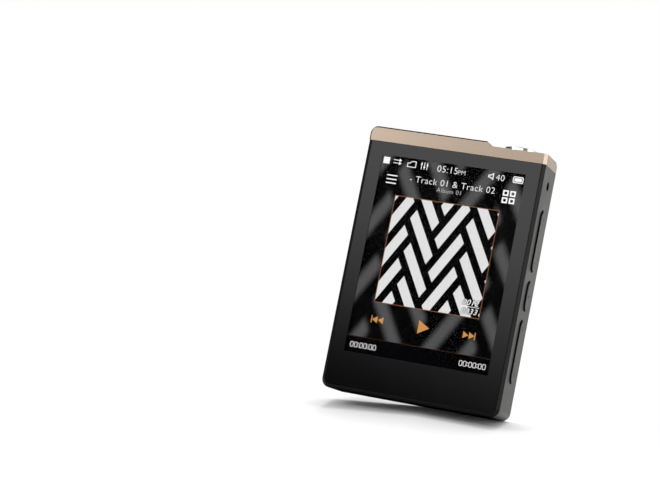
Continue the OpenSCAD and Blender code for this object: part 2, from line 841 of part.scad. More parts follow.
// Folded sheet behind the key board, with a pair of bearing arms for each rocker
module key_bracket() {
    color("#a9abae") difference() {
        union() {
            block([key_board_x - bracket_t, key_board_x], [key_board_y0, key_board_y1],
                [bracket_z0, bracket_z1]);
            for (z = [volume_z, skip_z]) for (side = [-1, 1]) {
                y = key_y + side * (arm_y - key_y + arm_t / 2);
                block([key_board_x - bracket_t, axle_x + 0.3], [y - arm_t / 2, y + arm_t / 2],
                    [z - arm_half, z + arm_half]);
                rod_y(axle_x, y - arm_t / 2, y + arm_t / 2, z, arm_ring_r);
                block([key_board_x - bracket_t, key_board_x],
                    side > 0 ? [key_board_y1 - hair, y + arm_t / 2]
                             : [y - arm_t / 2, key_board_y0 + hair],
                    [z - arm_half, z + arm_half]);
            }
        }
        for (z = bracket_screw_z)
            rod_x(key_board_x - bracket_t - over, key_board_x + over, key_y, z, hole_r);
        for (z = [volume_z, skip_z])
            rod_y(axle_x, key_y - axle_half - over, key_y + axle_half + over, z,
                axle_r + run_gap);
    }
}

// The part of a key that shows: a stadium with a small chamfer round its face
module key_top(z, len, x0) {
    edge = 0.2;
    hull() {
        $fn = HULL_FN;
        along_x(x0, key_face_x - edge) stadium(key_y, z, slot_w - 2 * key_gap, len - 2 * key_gap);
        along_x(x0, key_face_x)
            stadium(key_y, z, slot_w - 2 * key_gap - 2 * edge, len - 2 * key_gap - 2 * edge);
    }
}

// A rocker: face, inner flange, axle stubs and two pegs for the switches
module rocker(z, len) {
    peg_x = switch_top_x + key_travel;
    hub_y = 2.3;
    union() {
        key_top(z, len, rocker_flange_x + flange_t - hair);
        along_x(rocker_flange_x, rocker_flange_x + flange_t)
            stadium(key_y, z, slot_w + 2 * flange_lap, len + 2 * flange_lap);
        block([axle_x - 0.5, rocker_flange_x + hair], [key_y - hub_y, key_y + hub_y],
            [z - 1, z + 1]);
        rod_y(axle_x, key_y - axle_half, key_y + axle_half, z, axle_r);
        for (end = [-1, 1])
            rod_x(peg_x, rocker_flange_x + hair, key_y, z + end * peg_reach, plunger_r);
    }
}

module volume_rocker() { color("#77746c") rocker(volume_z, volume_len); }

module skip_rocker() { color("#77746c") rocker(skip_z, skip_len); }

module play_key() {
    flange_x = inner_x - flange_t - hair;
    color("#77746c") union() {
        key_top(play_z, play_len, flange_x + flange_t - hair);
        along_x(flange_x, flange_x + flange_t)
            stadium(key_y, play_z, slot_w + 2 * flange_lap, play_len + 2 * flange_lap);
        rod_x(switch_top_x + key_travel, flange_x + hair, key_y, play_z, plunger_r + 0.1);
    }
}

// ---------------------------------------------------------------- power button and indicator

module power_button() {
    top = low_z + power_proud;
    color("#e8e8ea") difference() {
        rotate_extrude_at(power_x, power_y) polygon([
            [0, button_base_z], [power_dia / 2, button_base_z],
            [power_dia / 2, top - button_edge], [power_dia / 2 - button_edge, top], [0, top],
        ]);
        rod_z(power_x, power_y, button_base_z - over, stem_top_z, stem_r);
    }
}

module rotate_extrude_at(x, y) {
    translate([x, y, 0]) rotate_extrude() children();
}

// Plastic carrier: stem in the button, flange under the cap's shoulder, foot above the switch
module power_carrier() {
    color("#1a1a1a") rotate_extrude_at(power_x, power_y) polygon([
        [0, foot_z], [foot_r, foot_z], [foot_r, flange_z0], [flange_r, flange_z0],
        [flange_r, flange_z1], [power_dia / 2, flange_z1], [power_dia / 2, button_base_z],
        [stem_r, button_base_z], [stem_r, stem_top_z], [0, stem_top_z],
    ]);
}

module power_switch_board() {
    color("#1d4a34") block([power_x - 3.4, power_x + 3.4], [power_y - 1.5, power_y + 3],
        [shelf_z1, shelf_z1 + power_board_t]);
}

module power_switch() {
    z = shelf_z1 + power_board_t;
    color("#c4c6c8") union() {
        block([power_x - switch_half, power_x + switch_half], [power_y - 1.4, power_y + 1.4],
            [z, z + 0.7]);
        rod_z(power_x, power_y, z + 0.6, foot_z - 0.5, plunger_r);
    }
}

module indicator_led() {
    x = key_board_x + key_board_t;
    color("#f2efe0") block([x, x + 0.8], [lamp_y - 0.5, lamp_y + 0.5], [lamp_z - 0.8, lamp_z + 0.8]);
}

module indicator_light_pipe() {
    color("#3c3c40") union() {
        rod_x(inner_x - 0.5, half_w - 0.5, lamp_y, lamp_z, pipe_dia / 2);
        rod_x(inner_x - 0.5, inner_x - hair, lamp_y, lamp_z, 1);
        rod_x(key_board_x + key_board_t + 0.9, inner_x - 0.4, lamp_y, lamp_z, pipe_dia / 2);
    }
}

// ---------------------------------------------------------------- card door

// Outline of the card door in Y and Z: round at the top, square at the hinge
module door_outline(grow) {
    w = door_w + 2 * grow;
    stadium(key_y, door_z, w, door_len + 2 * grow);
    translate([key_y - w / 2, door_z - door_len / 2 - grow]) square([w, door_len / 2]);
}

// Flat door whose lower end is a hinge barrel about its pin
module card_door() {
    x0 = -half_w;
    x1 = x0 + door_t;
    top = door_z + door_len / 2;
    color("#6b6962") difference() {
        intersection() {
            along_x(x0, x1) door_outline(0);
            union() {
                block([x0, x1], [key_y - door_w, key_y + door_w], [door_pivot_z, top]);
                rod_y(door_pivot_x, key_y - door_w, key_y + door_w, door_pivot_z, door_pivot_r);
            }
        }
        rod_y(door_pivot_x, key_y - door_w, key_y + door_w, door_pivot_z, pin_r + run_gap);
        // fingernail notch near the top
        translate([x0, key_y, top - 1.4]) scale(0.5) sphere(r = 1.6);
    }
}

module card_door_pin() {
    color("silver") card_door_pin_rod();
}

module card_door_pin_rod() {
    half = door_w / 2 + pin_run;
    rod_y(door_pivot_x, key_y - half, key_y + half, door_pivot_z, pin_r);
}

// ---------------------------------------------------------------- screws

module frame_screws() {
    color("#55575a") for (at = frame_screws_at)
        translate([at[0], frame_y + head_t, at[1]]) rotate([-90, 0, 0]) screw(2.8);
}

module board_screws() {
    color("#55575a") for (at = board_screws_at)
        translate([at[0], board_back_y, at[1]]) rotate([90, 0, 0]) screw(3.4);
}

module bracket_screws() {
    color("#55575a") for (z = bracket_screw_z)
        translate([key_board_x - bracket_t, key_y, z]) rotate([0, 90, 0]) screw(3.6);
}

module cap_screws() {
    color("#55575a") for (x = cap_screw_x)
        translate([x, cap_screw_y, shelf_z0]) screw(4.4);
}

// ---------------------------------------------------------------- the model

main_housing();
front_bezel();
front_window();
window_adhesive();
top_cap();
back_plate();
back_adhesive();
touch_sensor();
display_panel();
backlight_unit();
display_tray();
display_foam();
mid_frame();
main_board();
processor_chip();
memory_chip();
audio_chip();
power_chip();
clock_crystals();
board_capacitors();
shield_can();
board_connectors();
display_flex();
touch_flex();
headphone_jack();
jack_contacts();
usb_shell();
usb_tongue();
card_socket_base();
card_socket_cover();
card_contacts();
battery();
battery_tape();
battery_leads();
side_key_board();
side_switches();
key_bracket();
power_switch_board();
power_switch();
indicator_led();
indicator_light_pipe();
power_button();
power_carrier();
volume_rocker();
play_key();
skip_rocker();
card_door();
card_door_pin();
frame_screws();
board_screws();
bracket_screws();
cap_screws();
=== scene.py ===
"""Looks for the pocket audio player: the detailed pieces, every finish, and the studio stage.

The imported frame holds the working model. Lengths in the settings are metres, and the pieces are
modelled in millimetres and brought to metres when they are finished.
"""
import json
import math

import bpy
from bpy.props import FloatProperty, FloatVectorProperty, IntProperty, PointerProperty, StringProperty
from mathutils import Matrix, Vector

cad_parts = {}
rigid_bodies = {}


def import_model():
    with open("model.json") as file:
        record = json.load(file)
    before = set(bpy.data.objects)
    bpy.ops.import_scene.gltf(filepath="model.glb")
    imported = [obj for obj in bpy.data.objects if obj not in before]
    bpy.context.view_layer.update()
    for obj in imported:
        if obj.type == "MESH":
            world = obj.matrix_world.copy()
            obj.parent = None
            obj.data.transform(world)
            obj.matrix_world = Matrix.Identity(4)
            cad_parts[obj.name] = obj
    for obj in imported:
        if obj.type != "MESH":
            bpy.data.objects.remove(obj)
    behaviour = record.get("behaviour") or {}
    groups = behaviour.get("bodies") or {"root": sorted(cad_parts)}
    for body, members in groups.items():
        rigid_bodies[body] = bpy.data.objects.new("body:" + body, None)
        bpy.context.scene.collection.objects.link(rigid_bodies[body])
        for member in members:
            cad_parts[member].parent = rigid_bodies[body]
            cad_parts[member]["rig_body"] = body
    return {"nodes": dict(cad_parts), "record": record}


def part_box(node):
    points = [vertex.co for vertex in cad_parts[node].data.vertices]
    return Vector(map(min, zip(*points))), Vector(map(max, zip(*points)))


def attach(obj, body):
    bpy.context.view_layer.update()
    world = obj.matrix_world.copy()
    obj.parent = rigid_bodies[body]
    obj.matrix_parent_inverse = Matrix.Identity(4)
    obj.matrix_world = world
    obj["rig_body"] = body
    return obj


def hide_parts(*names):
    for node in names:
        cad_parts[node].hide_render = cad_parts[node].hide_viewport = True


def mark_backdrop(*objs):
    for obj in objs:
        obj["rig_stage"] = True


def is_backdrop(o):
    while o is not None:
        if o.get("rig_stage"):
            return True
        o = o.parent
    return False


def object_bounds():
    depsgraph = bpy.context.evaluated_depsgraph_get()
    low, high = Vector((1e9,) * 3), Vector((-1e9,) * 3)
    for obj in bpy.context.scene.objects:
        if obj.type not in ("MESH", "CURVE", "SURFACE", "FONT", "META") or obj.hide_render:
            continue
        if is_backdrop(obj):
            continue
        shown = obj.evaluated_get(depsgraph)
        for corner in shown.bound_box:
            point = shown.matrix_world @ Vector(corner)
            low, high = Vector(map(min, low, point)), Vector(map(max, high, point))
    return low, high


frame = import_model()
CAD_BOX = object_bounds()

bl_info = {
    "name": "Pocket audio player looks",
    "version": (1, 0, 0),
    "blender": (4, 5, 0),
    "location": "3D View > Sidebar > Player",
    "description": "Detailed pieces, finishes and stage for a pocket audio player",
    "category": "Object",
}

MM = 0.001
HAIR = 0.01           # thickness of a lit layer on the screen, in mm
BLACK = (0.004, 0.004, 0.004, 1.0)


def box_mm(node):
    """Lowest and highest corner of a node of the frame, in millimetres"""
    low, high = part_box(node)
    return low / MM, high / MM


# ---------------------------------------------------------------- settings

def colour_property(name, description, default):
    return FloatVectorProperty(name=name, description=description, subtype="COLOR", size=3,
                               default=default, min=0, max=1)


def length_property(name, description, default):
    return FloatProperty(name=name, description=description, default=default, unit="LENGTH",
                         subtype="DISTANCE", precision=5)


class PlayerColours(bpy.types.PropertyGroup):
    """Colours of the parts that show"""
    case: colour_property("Case", "Bronze-grey anodised metal of the sides and keys",
                          (0.097, 0.096, 0.090))
    cap: colour_property("Cap", "Pale gold anodised metal of the cap", (0.46, 0.365, 0.285))
    back: colour_property("Back", "Black anodised metal of the back plate", (0.055, 0.055, 0.058))
    bezel: colour_property("Bezel", "Black plastic round the glass", (0.006, 0.006, 0.0065))
    glass: colour_property("Glass border", "Print behind the edge of the glass",
                           (0.0015, 0.0015, 0.0016))
    button: colour_property("Button", "Polished chrome", (0.88, 0.88, 0.9))
    lit_white: colour_property("Lit white", "White of the status icons and titles", (0.97, 0.97, 0.97))
    lit_bar: colour_property("Lit bars", "White of the cover picture's bars", (0.69, 0.69, 0.69))
    lit_amber: colour_property("Lit amber", "Colour of the transport icons", (0.56, 0.26, 0.079))
    lit_rim: colour_property("Lit rim", "Thin line round the cover picture", (0.22, 0.085, 0.04))
    lit_band: colour_property("Lit bands", "Blurred bands behind the cover picture",
                              (0.075, 0.075, 0.077))


class ScreenSizes(bpy.types.PropertyGroup):
    """Sizes of what the screen shows"""
    side_margin: length_property("Side margin", "Dark edge of the panel at each side", 0.00145)
    top_margin: length_property("Top margin", "Dark edge of the panel at the top", 0.0019)
    bottom_margin: length_property("Bottom margin", "Dark edge of the panel at the bottom", 0.0016)
    art_size: length_property("Cover picture", "Side of the square cover picture", 0.0312)
    art_drop: length_property("Picture drop", "Picture's top edge below the screen's top", 0.0112)
    plank_pitch: length_property("Bar pitch", "Pitch of the woven bars of the picture", 0.0056)
    band_pitch: length_property("Band pitch", "Pitch of the blurred bands behind it", 0.0108)
    strip: length_property("Time strip", "Height of the black strip with the times", 0.0047)
    dot: length_property("Dot", "Pitch of the screen's lit dots", 0.000178)


class EdgeSizes(bpy.types.PropertyGroup):
    """Sizes of the edges and of the small relief"""
    shell: length_property("Shell edge", "Width of the softened edges of the metal shells", 0.00007)
    key: length_property("Key edge", "Width of the softened edges of the keys", 0.00008)
    mark: length_property("Key marks", "Depth of the engraved marks on the keys", 0.00012)
    dish: length_property("Button dish", "Depth of the power button's dished face", 0.00012)
    # the same width sets the painted highlight along the cap's edges
    wear_and_highlight: length_property("Wear", "Width of the rubbed metal along an edge", 0.00016)


class StageSettings(bpy.types.PropertyGroup):
    """Camera and studio light"""
    lens: FloatProperty(name="Lens", description="Focal length in mm", default=112.4, unit="CAMERA")
    azimuth: FloatProperty(name="Azimuth", description="Turn of the camera round the player",
                           default=math.radians(16.33), subtype="ANGLE")
    elevation: FloatProperty(name="Elevation", description="Height of the camera, as an angle",
                             default=math.radians(-6.16), subtype="ANGLE")
    roll: FloatProperty(name="Roll", description="Turn of the camera about its own axis",
                        default=math.radians(11.365), subtype="ANGLE")
    distance: length_property("Distance", "Camera to the middle of the player", 0.5934)
    aim_side: length_property("Aim aside", "How far right of the middle the camera aims", -0.03246)
    aim_up: length_property("Aim up", "How far above the middle the camera aims", 0.000996)
    slope: FloatProperty(name="Floor slope", description="Fall of the floor in front of the player",
                         default=math.radians(15), subtype="ANGLE")
    hinge_side: length_property("Floor hinge",
                                "Where the left part of that floor starts, from the middle", 0.002)
    behind: length_property("Floor behind", "How far that left part reaches behind the player", 0.025)
    key_power: FloatProperty(name="Key light",
                             description="Power of the lamp above the player, in watts",
                             default=2.6)
    front_power: FloatProperty(name="Front light",
                               description="Power of the lamp at the front left, in watts",
                               default=0.27)
    ambient: FloatProperty(name="Ambient", description="Even light of the white studio", default=0.80)


SETTINGS = {
    "player_colours": PlayerColours,
    "player_screen": ScreenSizes,
    "player_edges": EdgeSizes,
    "player_stage": StageSettings,
}


def colours():
    return bpy.context.scene.player_colours


def screen():
    return bpy.context.scene.player_screen


def edges():
    return bpy.context.scene.player_edges


# ---------------------------------------------------------------- modelling helpers

def deselect():
    bpy.ops.object.select_all(action="DESELECT")


def activate(piece):
    deselect()
    piece.hide_set(False)
    piece.select_set(True)
    bpy.context.view_layer.objects.active = piece


def edit(piece, kind="FACE"):
    activate(piece)
    bpy.ops.object.mode_set(mode="EDIT")
    bpy.ops.mesh.select_mode(type=kind)


def leave_edit():
    bpy.ops.object.mode_set(mode="OBJECT")


def select_faces(piece, test):
    """Selects the faces whose centre and normal pass the test, and enters edit mode"""
    mesh = piece.data
    for part in (mesh.vertices, mesh.edges, mesh.polygons):
        part.foreach_set("select", [False] * len(part))
    for face in mesh.polygons:
        face.select = bool(test(face.center, face.normal))
    edit(piece)


def apply_modifier(piece, kind, **settings):
    activate(piece)
    modifier = piece.modifiers.new(kind.title(), kind)
    for name, value in settings.items():
        setattr(modifier, name, value)
    bpy.ops.object.modifier_apply(modifier=modifier.name)


def active_piece(name):
    piece = bpy.context.view_layer.objects.active
    piece.name = name
    piece.data.name = name
    return piece


def to_metres(piece):
    """Brings a piece modelled in millimetres to its place in metres"""
    bpy.context.view_layer.update()
    piece.matrix_world = Matrix.Scale(MM, 4) @ piece.matrix_world
    activate(piece)
    bpy.ops.object.transform_apply(location=True, rotation=True, scale=True)


def finish_piece(piece, body, material, smooth=35.0, replaces=(), flat_faces=False):
    """Puts a piece on its body, with its finish, and hides the nodes that it stands for

    flat_faces keeps the shading of large flat faces level up to their rounded edges
    """
    to_metres(piece)
    piece.data.materials.clear()
    piece.data.materials.append(material)
    activate(piece)
    bpy.ops.object.shade_smooth_by_angle(angle=math.radians(smooth))
    if flat_faces:
        apply_modifier(piece, "WEIGHTED_NORMAL", keep_sharp=True, weight=100)
    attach(piece, body)
    if replaces:
        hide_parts(*replaces)
    return piece


def join(name, pieces):
    """One piece made of several"""
    deselect()
    for piece in pieces:
        piece.select_set(True)
    bpy.context.view_layer.objects.active = pieces[0]
    bpy.ops.object.join()
    return active_piece(name)


# ---------------------------------------------------------------- shader helpers

def add_node(tree, kind, sockets=None, **settings):
    """A shader node with its settings, and each named socket linked or set"""
    node = tree.nodes.new("ShaderNode" + kind)
    for name, value in settings.items():
        setattr(node, name, value)
    for name, value in (sockets or {}).items():
        plug(tree, node.inputs[name], value)
    return node


def plug(tree, socket, value):
    if isinstance(value, bpy.types.NodeSocket):
        tree.links.new(value, socket)
    else:
        socket.default_value = value


def maths(tree, operation, *values, clamp=False):
    node = tree.nodes.new("ShaderNodeMath")
    node.operation = operation
    node.use_clamp = clamp
    for socket, value in zip(node.inputs, values):
        plug(tree, socket, value)
    return node.outputs[0]


def mix_colours(tree, factor, first, second):
    node = tree.nodes.new("ShaderNodeMix")
    node.data_type = "RGBA"
    plug(tree, node.inputs[0], factor)
    plug(tree, node.inputs[6], first)
    plug(tree, node.inputs[7], second)
    return node.outputs[2]


def smooth_step(tree, value, start, end, low=0.0, high=1.0):
    return add_node(tree, "MapRange", {"Value": value, "From Min": start, "From Max": end,
                                       "To Min": low, "To Max": high},
                    interpolation_type="SMOOTHSTEP").outputs[0]


def new_group(name, inputs, outputs):
    """A shader node group with named inputs (name: default) and outputs"""
    tree = bpy.data.node_groups.new(name, "ShaderNodeTree")
    kinds = {float: "NodeSocketFloat", tuple: "NodeSocketVector"}
    for label, default in inputs.items():
        socket = tree.interface.new_socket(label, in_out="INPUT", socket_type=kinds[type(default)])
        socket.default_value = default
    for label in outputs:
        tree.interface.new_socket(label, in_out="OUTPUT", socket_type="NodeSocketFloat")
    return tree, tree.nodes.new("NodeGroupInput"), tree.nodes.new("NodeGroupOutput")


def use_group(tree, name, **values):
    node = tree.nodes.new("ShaderNodeGroup")
    node.node_tree = bpy.data.node_groups[name]
    for label, value in values.items():
        plug(tree, node.inputs[label.replace("_", " ")], value)
    return node


def object_millimetres(tree, centre=(0, 0, 0), stretch=(1, 1, 1)):
    """Object coordinates in millimetres, from a centre in mm, stretched along each axis"""
    place = tree.nodes.new("ShaderNodeTexCoord").outputs["Object"]
    scaled = add_node(tree, "VectorMath", {0: place, 1: tuple(1 / MM for _ in range(3))},
                      operation="MULTIPLY").outputs[0]
    moved = add_node(tree, "VectorMath", {0: scaled, 1: centre}, operation="SUBTRACT").outputs[0]
    return add_node(tree, "VectorMath", {0: moved, 1: stretch}, operation="MULTIPLY").outputs[0]


def build_grain_group():
    """Fine surface grain, stretched along one axis for a brushed finish"""
    tree, given, result = new_group("Surface grain", {"Per mm": 6.0, "Stretch": (1.0, 1.0, 1.0)},
                                    ["Grain"])
    place = object_millimetres(tree)
    place = add_node(tree, "VectorMath", {0: place, 1: given.outputs["Stretch"]},
                     operation="MULTIPLY").outputs[0]
    noise = add_node(tree, "TexNoise", {"Vector": place, "Scale": given.outputs["Per mm"],
                                        "Detail": 3.0, "Roughness": 0.65})
    tree.links.new(noise.outputs[0], result.inputs["Grain"])


def build_wear_and_highlight_group():
    """Mask of the rubbed edges, broken up by noise, where the edges are lightened as wear and, on the cap,
    as a painted highlight
    """
    tree, given, result = new_group("Edge wear", {"Radius": 0.00015, "Strength": 1.0}, ["Wear"])
    rounded = add_node(tree, "Bevel", {"Radius": given.outputs["Radius"]}, samples=6)
    flat = tree.nodes.new("ShaderNodeNewGeometry").outputs["Normal"]
    turn = add_node(tree, "VectorMath", {0: rounded.outputs[0], 1: flat},
                    operation="DOT_PRODUCT").outputs["Value"]
    bend = maths(tree, "SUBTRACT", 1.0, turn)
    patchy = add_node(tree, "TexNoise", {"Vector": object_millimetres(tree), "Scale": 0.9,
                                         "Detail": 4.0}).outputs[0]
    patchy = smooth_step(tree, patchy, 0.3, 0.7, 0.35, 1.0)
    strong = maths(tree, "MULTIPLY", bend, given.outputs["Strength"])
    tree.links.new(maths(tree, "MULTIPLY", strong, patchy, clamp=True), result.inputs["Wear"])


def build_handling_group():
    """Slow change of gloss left by handling"""
    tree, given, result = new_group("Handling", {"Size mm": 9.0}, ["Smudge"])
    place = object_millimetres(tree)
    size = maths(tree, "DIVIDE", 1.0, given.outputs["Size mm"])
    smudge = add_node(tree, "TexNoise", {"Vector": place, "Scale": size, "Detail": 5.0,
                                         "Roughness": 0.6}).outputs[0]
    tree.links.new(smooth_step(tree, smudge, 0.35, 0.7), result.inputs["Smudge"])


def build_dot_group():
    """Brightness of the screen's fine grid of lit dots"""
    tree, given, result = new_group("Screen dots", {"Pitch mm": 0.178}, ["Light"])
    parts = add_node(tree, "SeparateXYZ", {0: object_millimetres(tree)})
    lines = []
    for axis, share in ((0, 0.10), (2, 0.08)):
        along = maths(tree, "DIVIDE", parts.outputs[axis], given.outputs["Pitch mm"])
        inside = maths(tree, "FRACT", along)
        lines.append(maths(tree, "GREATER_THAN", inside, share))
    both = maths(tree, "MULTIPLY", *lines)
    tree.links.new(maths(tree, "MULTIPLY_ADD", both, 0.3, 0.7), result.inputs["Light"])


def build_groups():
    build_grain_group()
    build_wear_and_highlight_group()
    build_handling_group()
    build_dot_group()


def shaded(colour, factor):
    """A colour made lighter or darker, as four numbers"""
    return tuple(min(1.0, c * factor) for c in colour[:3]) + (1.0,)


def new_material(name):
    """A new material that takes the place of the plain one that came with the frame"""
    plain = bpy.data.materials.get(name)
    if plain:
        bpy.data.materials.remove(plain)
    made = bpy.data.materials.new(name)
    made.use_nodes = True
    return made


def make_finish(name, colour, metallic=0.0, roughness=0.5, grain=6.0, stretch=(1.0, 1.0, 1.0),
                variation=0.08, gloss_variation=0.08, bump=0.15, wear_and_highlight=0.0, wear_and_highlight_colour=None,
                constants=None, dark=None):
    """A finish with grain in its colour, gloss and relief, handling marks, and edges lightened as wear and
    as a painted highlight

    dark is a function that gives the mask of the faces that are painted black as shade
    """
    material = new_material(name)
    tree = material.node_tree
    shader = tree.nodes["Principled BSDF"]
    grain_mask = use_group(tree, "Surface grain", Per_mm=grain, Stretch=stretch).outputs[0]
    smudge = use_group(tree, "Handling").outputs["Smudge"]
    tone = mix_colours(tree, grain_mask, shaded(colour, 1 - variation), shaded(colour, 1 + variation))
    gloss = maths(tree, "MULTIPLY_ADD", grain_mask, gloss_variation, roughness - gloss_variation / 2)
    gloss = maths(tree, "MULTIPLY_ADD", smudge, gloss_variation * 0.6, gloss)
    # edges lightened as rubbed metal; the cap's pale gold edge colour is a painted highlight
    if wear_and_highlight:
        mask = use_group(tree, "Edge wear", Radius=edges().wear_and_highlight, Strength=wear_and_highlight).outputs[0]
        bright = shaded(wear_and_highlight_colour or colour, 1.0 if wear_and_highlight_colour else 1.5)
        tone = mix_colours(tree, mask, tone, bright)
    # painted shade: the masked faces are made black and rougher
    if dark:
        mask = dark(tree)
        tone = mix_colours(tree, mask, tone, BLACK)
        gloss = maths(tree, "MULTIPLY_ADD", mask, 0.4, gloss)
    plug(tree, shader.inputs["Base Color"], tone)
    plug(tree, shader.inputs["Roughness"], maths(tree, "MINIMUM", gloss, 1.0, clamp=True))
    relief = add_node(tree, "Bump", {"Strength": bump, "Distance": 0.00002, "Height": grain_mask})
    tree.links.new(relief.outputs[0], shader.inputs["Normal"])
    shader.inputs["Metallic"].default_value = metallic
    for label, value in (constants or {}).items():
        shader.inputs[label].default_value = value
    return material


def material(name):
    return bpy.data.materials[name]


# ---------------------------------------------------------------- finishes of the frame's nodes

def hidden_finishes():
    """Finishes of the pieces inside the case: slot name and what make_finish is given"""
    return {
        "adhesive": dict(colour=(0.014, 0.014, 0.014), roughness=0.75, grain=14.0, bump=0.4),
        "lcd_panel": dict(colour=(0.002, 0.002, 0.003), roughness=0.22, grain=3.0, bump=0.02,
                          constants={"Specular IOR Level": 0.0}),
        "backlight_white": dict(colour=(0.86, 0.87, 0.88), roughness=0.35, grain=9.0),
        "tray_steel": dict(colour=(0.52, 0.53, 0.54), metallic=1.0, roughness=0.34, grain=5.0,
                           stretch=(1.0, 1.0, 0.06)),
        "foam_grey": dict(colour=(0.04, 0.04, 0.042), roughness=0.95, grain=5.0,
                          variation=0.4, bump=0.8),
        "frame_alloy": dict(colour=(0.40, 0.41, 0.42), metallic=1.0, roughness=0.5,
                            grain=3.0, bump=0.5),
        "board_green": dict(colour=(0.012, 0.085, 0.045), roughness=0.35, grain=2.2, variation=0.35,
                            constants={"Coat Weight": 0.4, "Coat Roughness": 0.2}),
        "chip_black": dict(colour=(0.018, 0.018, 0.02), roughness=0.62, grain=16.0, bump=0.3),
        "crystal_metal": dict(colour=(0.66, 0.66, 0.67), metallic=1.0, roughness=0.25, grain=8.0),
        "capacitor_tan": dict(colour=(0.42, 0.27, 0.13), roughness=0.5, grain=9.0, variation=0.2),
        "connector_ivory": dict(colour=(0.68, 0.62, 0.48), roughness=0.45, grain=8.0),
        "flex_amber": dict(colour=(0.38, 0.14, 0.03), roughness=0.25, grain=3.0, variation=0.3),
        "contact_gold": dict(colour=(0.78, 0.55, 0.22), metallic=1.0, roughness=0.2, grain=9.0),
        "socket_steel": dict(colour=(0.56, 0.57, 0.58), metallic=1.0, roughness=0.28, grain=6.0,
                             stretch=(1.0, 1.0, 0.1)),
        "socket_plastic": dict(colour=(0.012, 0.012, 0.013), roughness=0.5, grain=12.0, bump=0.3),
        "battery_foil": dict(colour=(0.42, 0.43, 0.44), metallic=0.8, roughness=0.42,
                             grain=1.4, bump=0.8),
        "tape_white": dict(colour=(0.72, 0.72, 0.70), roughness=0.7, grain=8.0, bump=0.4),
        "lead_red": dict(colour=(0.35, 0.02, 0.015), roughness=0.45, grain=10.0),
        "led_white": dict(colour=(0.86, 0.83, 0.70), roughness=0.3, grain=8.0),
        "carrier_plastic": dict(colour=(0.010, 0.010, 0.011), roughness=0.5, grain=12.0, bump=0.3),
        "pin_steel": dict(colour=(0.60, 0.60, 0.61), metallic=1.0, roughness=0.22, grain=9.0,
                          stretch=(1.0, 0.1, 1.0)),
        "screw_steel": dict(colour=(0.10, 0.10, 0.105), metallic=1.0, roughness=0.36, grain=9.0),
    }


def painted_shade_in_openings(tree):
    """Mask of the walls inside the openings of the case's right side, which are painted black as the shade
    in the slots
    """
    skin, margin, bottom = 0.06, 0.5, 3.0
    half = box_mm("main_housing")[1].x
    low, high = box_mm("volume_rocker")
    place = object_millimetres(tree, centre=(0, (low.y + high.y) / 2, 0))
    x, y, z = add_node(tree, "SeparateXYZ", {0: place}).outputs
    deep = maths(tree, "COMPARE", x, half / 2, half / 2 - skin)
    near = maths(tree, "LESS_THAN", maths(tree, "ABSOLUTE", y), (high.y - low.y) / 2 + margin)
    above = maths(tree, "GREATER_THAN", z, bottom)
    return maths(tree, "MULTIPLY", maths(tree, "MULTIPLY", deep, near), above)


def painted_shade_below_key_face(tree):
    """Mask of a key's side walls and of the floor of its engraved marks, which are painted black as the
    shade between key and slot and in the marks
    """
    face = box_mm("volume_rocker")[1].x
    parts = add_node(tree, "SeparateXYZ", {0: object_millimetres(tree)})
    return smooth_step(tree, parts.outputs[0], face - 0.10, face - 0.16)


def painted_shade_on_back_bevel(tree):
    """Mask of the bevels at the sides of the back plate, which are painted black as shade"""
    low, high = box_mm("back_plate")
    parts = add_node(tree, "SeparateXYZ", {0: object_millimetres(tree)})
    aside = maths(tree, "ABSOLUTE", parts.outputs[0])
    return smooth_step(tree, aside, high.x - 0.56, high.x - 0.53)


def painted_shade_on_cap_edge(tree):
    """Mask of the thin chamfer along the raised part of the cap, which is painted black as a line of shade
    """
    low, high = box_mm("top_cap")
    edge = 0.42
    x, y, z = add_node(tree, "SeparateXYZ", {0: object_millimetres(tree)}).outputs
    front = maths(tree, "LESS_THAN", y, low.y + edge)
    back = maths(tree, "GREATER_THAN", y, high.y - edge)
    top = maths(tree, "GREATER_THAN", z, high.z - edge)
    left = maths(tree, "LESS_THAN", x, low.x + edge)
    rim = maths(tree, "MAXIMUM", top, left)
    return maths(tree, "MULTIPLY", rim, maths(tree, "MAXIMUM", front, back))


